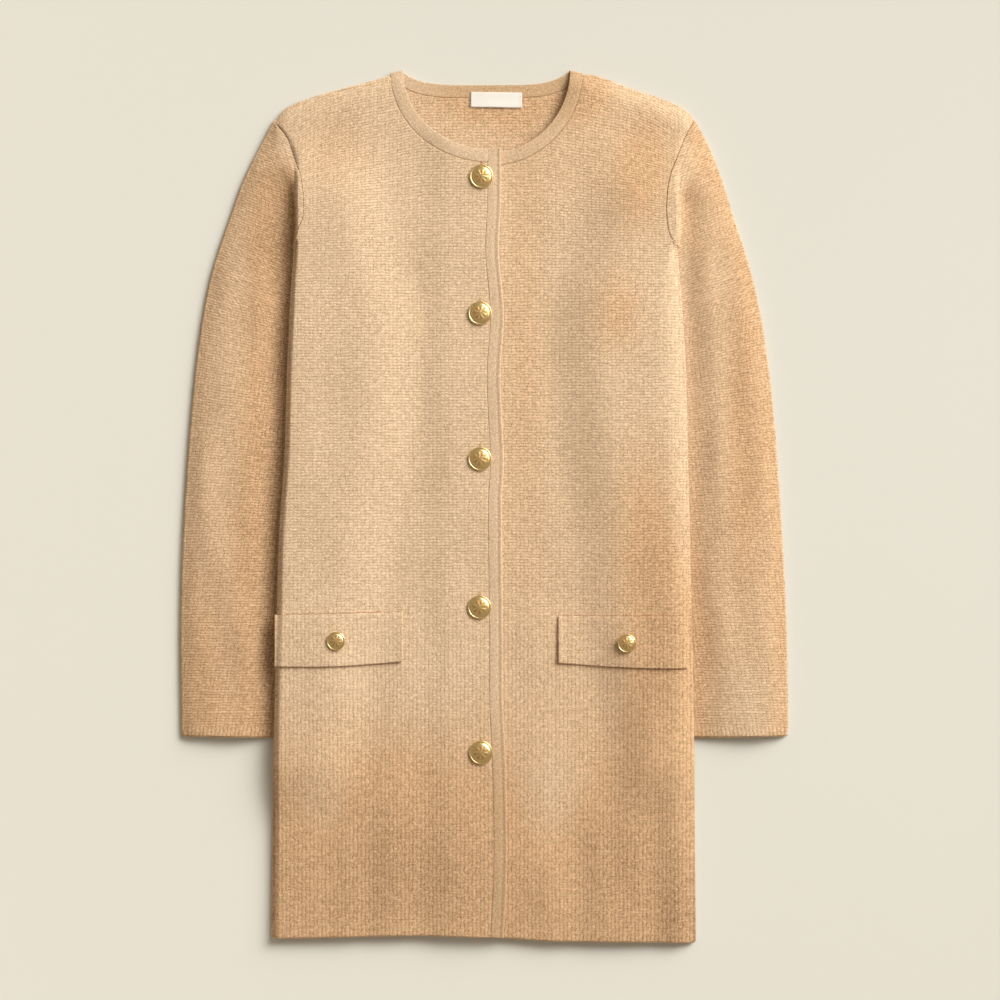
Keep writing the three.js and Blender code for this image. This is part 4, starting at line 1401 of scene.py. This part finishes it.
threadInputs = (
    ("Path", "Geometry", None), ("Spacing", "Float", 0.0015), ("Thread", "Float", 0.0002),
    ("Reach", "Float", 0.0008), ("Arch", "Float", 0.0003), ("Lean", "Float", 0.0),
    ("Unevenness", "Float", 0.15), ("Seed", "Int", 5), ("Finish", "Material", None),
)


def makeThreadTree(name, linked):
    tree, given, result = newGroup(name, "GeometryNodeTree", threadInputs, [("Stitches", "Geometry")])
    byName = lambda sockets, label: next(one for one in sockets if one.enabled and one.name == label)

    def add(kind, *values, **settings):
        node = tree.nodes.new(kind)
        for key, value in settings.items():
            setattr(node, key, value)
        for label, value in values:
            plug(tree, byName(node.inputs, label), value)
        return node

    def first(kind, *values, **settings):
        return add(kind, *values, **settings).outputs[0]

    def uneven(extra):
        seed = plus(tree, given["Seed"], extra)
        limits = (("Min", -1.0), ("Max", 1.0))
        node = add("FunctionNodeRandomValue", *limits, ("Seed", seed), data_type="FLOAT")
        return times(tree, byName(node.outputs, "Value"), given["Unevenness"])

    if linked:
        ring = first("GeometryNodeCurvePrimitiveCircle", ("Resolution", 10), ("Radius", 1.0))
        size = vectorOf(tree, times(tree, given["Spacing"], 0.62), given["Reach"])
        line = first("GeometryNodeTransform", ("Geometry", ring), ("Scale", size))
    else:
        foot = times(tree, given["Thread"], -1.0)
        line = first(
            "GeometryNodeCurveQuadraticBezier", ("Resolution", 4),
            ("Start", vectorOf(tree, 0.0, times(tree, given["Reach"], -1.0), foot)),
            ("Middle", vectorOf(tree, 0.0, 0.0, times(tree, given["Arch"], 2.0))),
            ("End", vectorOf(tree, 0.0, given["Reach"], foot)),
        )
    section = first("GeometryNodeCurvePrimitiveCircle", ("Resolution", 5), ("Radius", given["Thread"]))
    stitch = first(
        "GeometryNodeCurveToMesh", ("Curve", line), ("Profile Curve", section), ("Fill Caps", True),
    )
    curve = first("GeometryNodeMeshToCurve", ("Mesh", given["Path"]))
    points = first(
        "GeometryNodeResampleCurve", ("Curve", curve), ("Length", given["Spacing"]), mode="LENGTH",
    )
    tangent = first("GeometryNodeInputTangent")
    along = first("FunctionNodeAlignRotationToVector", ("Vector", tangent), axis="X", pivot_axis="Z")
    lean = vectorOf(tree, 0.0, 0.0, plus(tree, given["Lean"], uneven(0)))
    lean = first("FunctionNodeEulerToRotation", ("Euler", lean))
    turn = first(
        "FunctionNodeRotateRotation", ("Rotation", along), ("Rotate By", lean), rotation_space="LOCAL",
    )
    placed = first(
        "GeometryNodeInstanceOnPoints", ("Points", points), ("Instance", stitch), ("Rotation", turn),
        ("Scale", plus(tree, 1.0, uneven(7))),
    )
    real = first("GeometryNodeRealizeInstances", ("Geometry", placed))
    finished = first("GeometryNodeSetMaterial", ("Geometry", real), ("Material", given["Finish"]))
    plug(tree, result[0], finished)
    return tree


barTree = makeThreadTree("ThreadBars", False)
chainTree = makeThreadTree("CastOffChain", True)


def stitched(name, tree, paths, yarn, slot, **sizes):
    places, edges = [], []
    for path in paths():
        start = len(places)
        places += ((path + shift) * mm).tolist()
        edges += [(k, k + 1) for k in range(start, len(places) - 1)]
    mesh = bpy.data.meshes.new(name + "Path")
    mesh.from_pydata(places, edges, [])
    track = bpy.data.objects.new(name + "Path", mesh)
    modifier = track.modifiers.new("stitches", "NODES")
    modifier.node_group = tree
    sockets = {item.name: item.identifier for item in tree.interface.items_tree if item.in_out == "INPUT"}
    for label, value in dict(sizes, Finish=yarn).items():
        modifier[sockets[label]] = value
    bpy.context.scene.collection.objects.link(track)
    bpy.context.view_layer.update()
    evaluated = track.evaluated_get(bpy.context.evaluated_depsgraph_get())
    result = bpy.data.meshes.new_from_object(evaluated)
    track.modifiers.remove(modifier)
    bpy.data.objects.remove(track)
    result.name = name
    result.polygons.foreach_set("use_smooth", np.ones(len(result.polygons), bool))
    piece = bpy.data.objects.new(name, result)
    bpy.context.scene.collection.objects.link(piece)
    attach(piece, "root")
    print(name, len(result.polygons) * 2, "triangles")


def makeYarn(name, color):
    material, tree, shader = newMaterial(name)
    place = tree.nodes.new("ShaderNodeTexCoord").outputs["Object"]
    deep = tuple(0.72 * c for c in color[:3]) + (1.0,)
    feed(tree, shader, {
        "Base Color": mixColor(tree, noiseOf(tree, place, 900, 3), deep, color),
        "Roughness": 0.9,
        "Specular IOR Level": 0.15,
    })
    addBump(tree, shader, noiseOf(tree, place, 3500), 0.0001)
    return material


seamYarn = makeYarn("SeamYarn", tint(206, 170, 130))
# darker yarn for the flap-top seams: real stitches, darkened as painted shade along the seam
flapShadowYarn = makeYarn("FlapShadowYarn", tint(176, 140, 104))
seamShadow = makeYarn("SeamShadow", tint(146, 106, 70))
labelThread = makeYarn("LabelThread", tint(226, 222, 214))

# How far the thread work stands over the middle of the wall, and where it starts and ends
threadPlaces = {
    "chain": 0.3,
    "cuffChain": 0.2,
    "hemInset": 0.7,
    "hemHalfWidth": 200.5,
    "linking": half - 0.05,
    "armhole": half + 0.12,
    "flap": flaps["wall"] / 2 - 0.5,
    "label": cloth["wall"] + label["air"] + label["wall"] + 0.25,
    "buttonholeHalfWidth": 1.1,
    "buttonholeBelow": 4,
    "buttonholeAbove": 15,
}


def onSurface(x, y, heightAt, above):
    x, y = np.broadcast_arrays(np.asarray(x, float), np.asarray(y, float))
    return np.stack([x, y, heightAt(x, y) + above], -1)


def hemPaths():
    seam, outer = seamX(levels["hem"]), threadPlaces["hemHalfWidth"]
    edge = lambda x: hemAt(x) - threadPlaces["hemInset"]
    rightX = np.linspace(-outer, seam - 0.5, 90)
    leftX = np.linspace(seam + cloth["bandWidth"] + 1, outer, 90)
    backX = np.linspace(-outer, outer, 160)
    paths = [
        onSurface(rightX, edge(rightX), overMid, threadPlaces["chain"]),
        onSurface(leftX, edge(leftX), frontMid, threadPlaces["chain"]),
        onSurface(backX, edge(backX) + body["backHemRise"], backMid, threadPlaces["cuffChain"]),
    ]
    for piece in ("sleeveRight", "sleeveLeft"):
        paths.append(clothPieces[piece][0]["point"][-2] + np.array([0, 0, threadPlaces["cuffChain"]]))
    return paths


def seamPaths():
    above = threadPlaces["linking"]
    paths = []
    for name, heightAt in fronts.items():
        edge = neckPoint(name, neckAngles(name, 60), cloth["bandWidth"])[3:]
        paths.append(onSurface(*edge.T, heightAt, above))
    y = np.linspace(hemAt(frontBand["footX"]) + 1.5, 332, 260)
    paths.append(onSurface(seamX(y), y, overMid, above))
    inside = backNeckPoint(backNeckSeam, -np.cos(np.linspace(0.2, math.pi - 0.2, 70)))
    paths.append(onSurface(*inside.T, backMid, above))
    return paths


def armholePaths():
    y = np.linspace(levels["underarm"] + 6, levels["tip"] - 1, 90)
    return [onSurface(edgeX(name, y), y, fronts[name], threadPlaces["armhole"]) for name in fronts]


def flapPaths():
    u = np.linspace(0.02, 0.97, 90)
    paths = []
    for name in fronts:
        flap = flaps[name]
        uneven = 0.25 * np.sin(u * 47 + side[name]) + 0.2 * np.sin(u * 101)
        x, y = mix(flap["inner"], flap["outer"], u), mix(flap["top"], flap["outerTop"], u) + 0.2 + uneven
        paths.append(onSurface(x, y, lambda x, y: flapMid(name, x, y), threadPlaces["flap"]))
    return paths


def buttonholePaths():
    around = np.linspace(0, 2 * math.pi, 40)
    below, above = threadPlaces["buttonholeBelow"], threadPlaces["buttonholeAbove"]
    x = threadPlaces["buttonholeHalfWidth"] * np.cos(around)
    y = (above - below) / 2 + (above + below) / 2 * np.sin(around)
    places = buttonPlaces.values()
    return [onSurface(place[0] + x, place[1] + y, overMid, threadPlaces["linking"]) for place in places]


def labelPaths():
    paths = []
    for end in (-0.5, 0.5):
        px = end * (label["width"] - 2 * label["seamInset"])
        py = np.linspace(-0.5, 0.5, 8) * label["seamLength"] * label["height"]
        x, y = labelPlace(px, py)
        paths.append(np.stack([x, y, np.full(len(py), threadPlaces["label"])], -1))
    return paths


threadWork = table(
    "name tree paths yarn slot Spacing Thread Reach Arch Lean Unevenness Seed",
    ("hemChain", chainTree, hemPaths, seamYarn, "knit", 0.0026, 0.0003, 0.00085, 0.0003, 0.0, 0.12, 9),
    ("seamStitches", barTree, seamPaths, seamYarn, "knit", 0.0017, 0.00019, 0.00085, 0.0002, 0.5, 0.2, 4),
    ("armholeStitches", barTree, armholePaths, seamShadow, "knit",
     0.0010, 0.00026, 0.00045, 0.0001, 0.9, 0.3, 5),
    # the flap-top stitches' darker yarn is painted shade along the seam
    ("flapStitches", barTree, flapPaths, flapShadowYarn, "knit", 0.0012, 0.00022, 0.0006, 0.0001, 1.1, 0.3, 8),
    ("buttonholeStitches", barTree, buttonholePaths, seamYarn, "knit",
     0.0008, 0.00021, 0.0009, 0.0003, 0.0, 0.12, 2),
    ("labelStitches", barTree, labelPaths, labelThread, "label",
     0.0022, 0.00014, 0.0009, 0.00018, 0.2, 0.15, 6),
)
for work in threadWork:
    stitched(**work)
print("thread work made")

# Camera, floor and light

view = {"x": 14.9, "y": 5.0, "width": 960, "lens": 90, "over": 0.008}
camera = bpy.data.objects.new("Camera", bpy.data.cameras.new("Camera"))
camera.data.lens = view["lens"]
camera.data.clip_end = 10
distance = view["width"] * mm * view["lens"] / camera.data.sensor_width
camera.location = ((view["x"] + shift[0]) * mm, (view["y"] + shift[1]) * mm, distance + view["over"])
bpy.context.scene.collection.objects.link(camera)
bpy.context.scene.camera = camera

# The paper's paleness changes slowly, so that it looks evenly lit; the falls are per metre
floorLook = {
    "size": 6.0,
    "depth": 0.0005,
    "color": (1.0, 1.005, 0.938),
    "level": 0.756,
    "limit": 0.97,
    "across": 0.17,
    "along": 0.20,
    "corner": 0.15,
    "bowAcross": -0.16,
    "bowAlong": -0.19,
    "near": 0.85,  # the paper begins to melt into the backdrop here
    "far": 1.8,  # and has gone here
}


def makeFloor():
    material, tree, shader = newMaterial("FloorPaper")
    place = tree.nodes.new("ShaderNodeTexCoord").outputs["Object"]
    x, y = partsOf(tree, place)[:2]
    products = {
        "across": x, "along": y, "corner": times(tree, x, y), "bowAcross": times(tree, x, x),
        "bowAlong": times(tree, y, y),
    }
    fall = plus(tree, *(times(tree, product, floorLook[key]) for key, product in products.items()))
    level = times(tree, calc(tree, "EXPONENT", times(tree, fall, -1.0)), floorLook["level"])
    level = calc(tree, "MINIMUM", level, floorLook["limit"])
    away = tree.nodes.new("ShaderNodeVectorMath")
    away.operation = "LENGTH"
    reach = feed(tree, away, {0: place}).outputs["Value"]
    feed(tree, shader, {
        "Base Color": vectorOf(tree, *(times(tree, level, share) for share in floorLook["color"])),
        "Roughness": 1.0,
        "Specular IOR Level": 0.0,
        "Alpha": remap(tree, reach, floorLook["near"], floorLook["far"], 1.0, 0.0, True),
    })
    reach, depth = floorLook["size"] / 2, floorLook["depth"]
    corners = [(x * reach, y * reach, -depth) for x, y in ((-1, -1), (1, -1), (1, 1), (-1, 1))]
    mesh = bpy.data.meshes.new("floor")
    mesh.from_pydata(corners, [], [(0, 1, 2, 3)])
    mesh.materials.append(material)
    floor = bpy.data.objects.new("floor", mesh)
    bpy.context.scene.collection.objects.link(floor)


makeFloor()

lights = {
    "key": {"place": (1.95, 2.1, 1.95), "aim": (-0.12, 0.16, 0.0), "size": 2.6, "power": 27, "spread": 56},
    "top": {"place": (1.15, 0.4, 1.1), "aim": (0.0, 0.0, 0.0), "size": 0.7, "power": 5, "spread": 180},
}
for name, light in lights.items():
    lamp = bpy.data.lights.new(name, "AREA")
    lamp.energy = light["power"]
    lamp.size = light["size"]
    lamp.color = (1.0, 0.97, 0.92)
    lamp.spread = math.radians(light["spread"])
    source = bpy.data.objects.new(name, lamp)
    source.location = light["place"]
    source.rotation_euler = (Vector(light["aim"]) - source.location).to_track_quat("-Z", "Y").to_euler()
    bpy.context.scene.collection.objects.link(source)

studio = {"light": (1.0, 0.84, 0.66, 1.0), "strength": 0.31, "backdrop": tint(232, 226, 211)}
world = bpy.data.worlds.new("Studio")
world.use_nodes = True
tree = world.node_tree
nodeOf = lambda kind: next(node for node in tree.nodes if node.type == kind)
ambient = feed(tree, nodeOf("BACKGROUND"), {"Color": studio["light"], "Strength": studio["strength"]})
backdrop = feed(tree, tree.nodes.new("ShaderNodeBackground"), {"Color": studio["backdrop"]})
seen = feed(tree, tree.nodes.new("ShaderNodeMixShader"), {
    0: tree.nodes.new("ShaderNodeLightPath").outputs["Is Camera Ray"],
    1: ambient.outputs[0],
    2: backdrop.outputs[0],
})
plug(tree, nodeOf("OUTPUT_WORLD").inputs[0], seen.outputs[0])
bpy.context.scene.world = world
bpy.context.scene.view_settings.view_transform = "Standard"
print("camera and lights set")
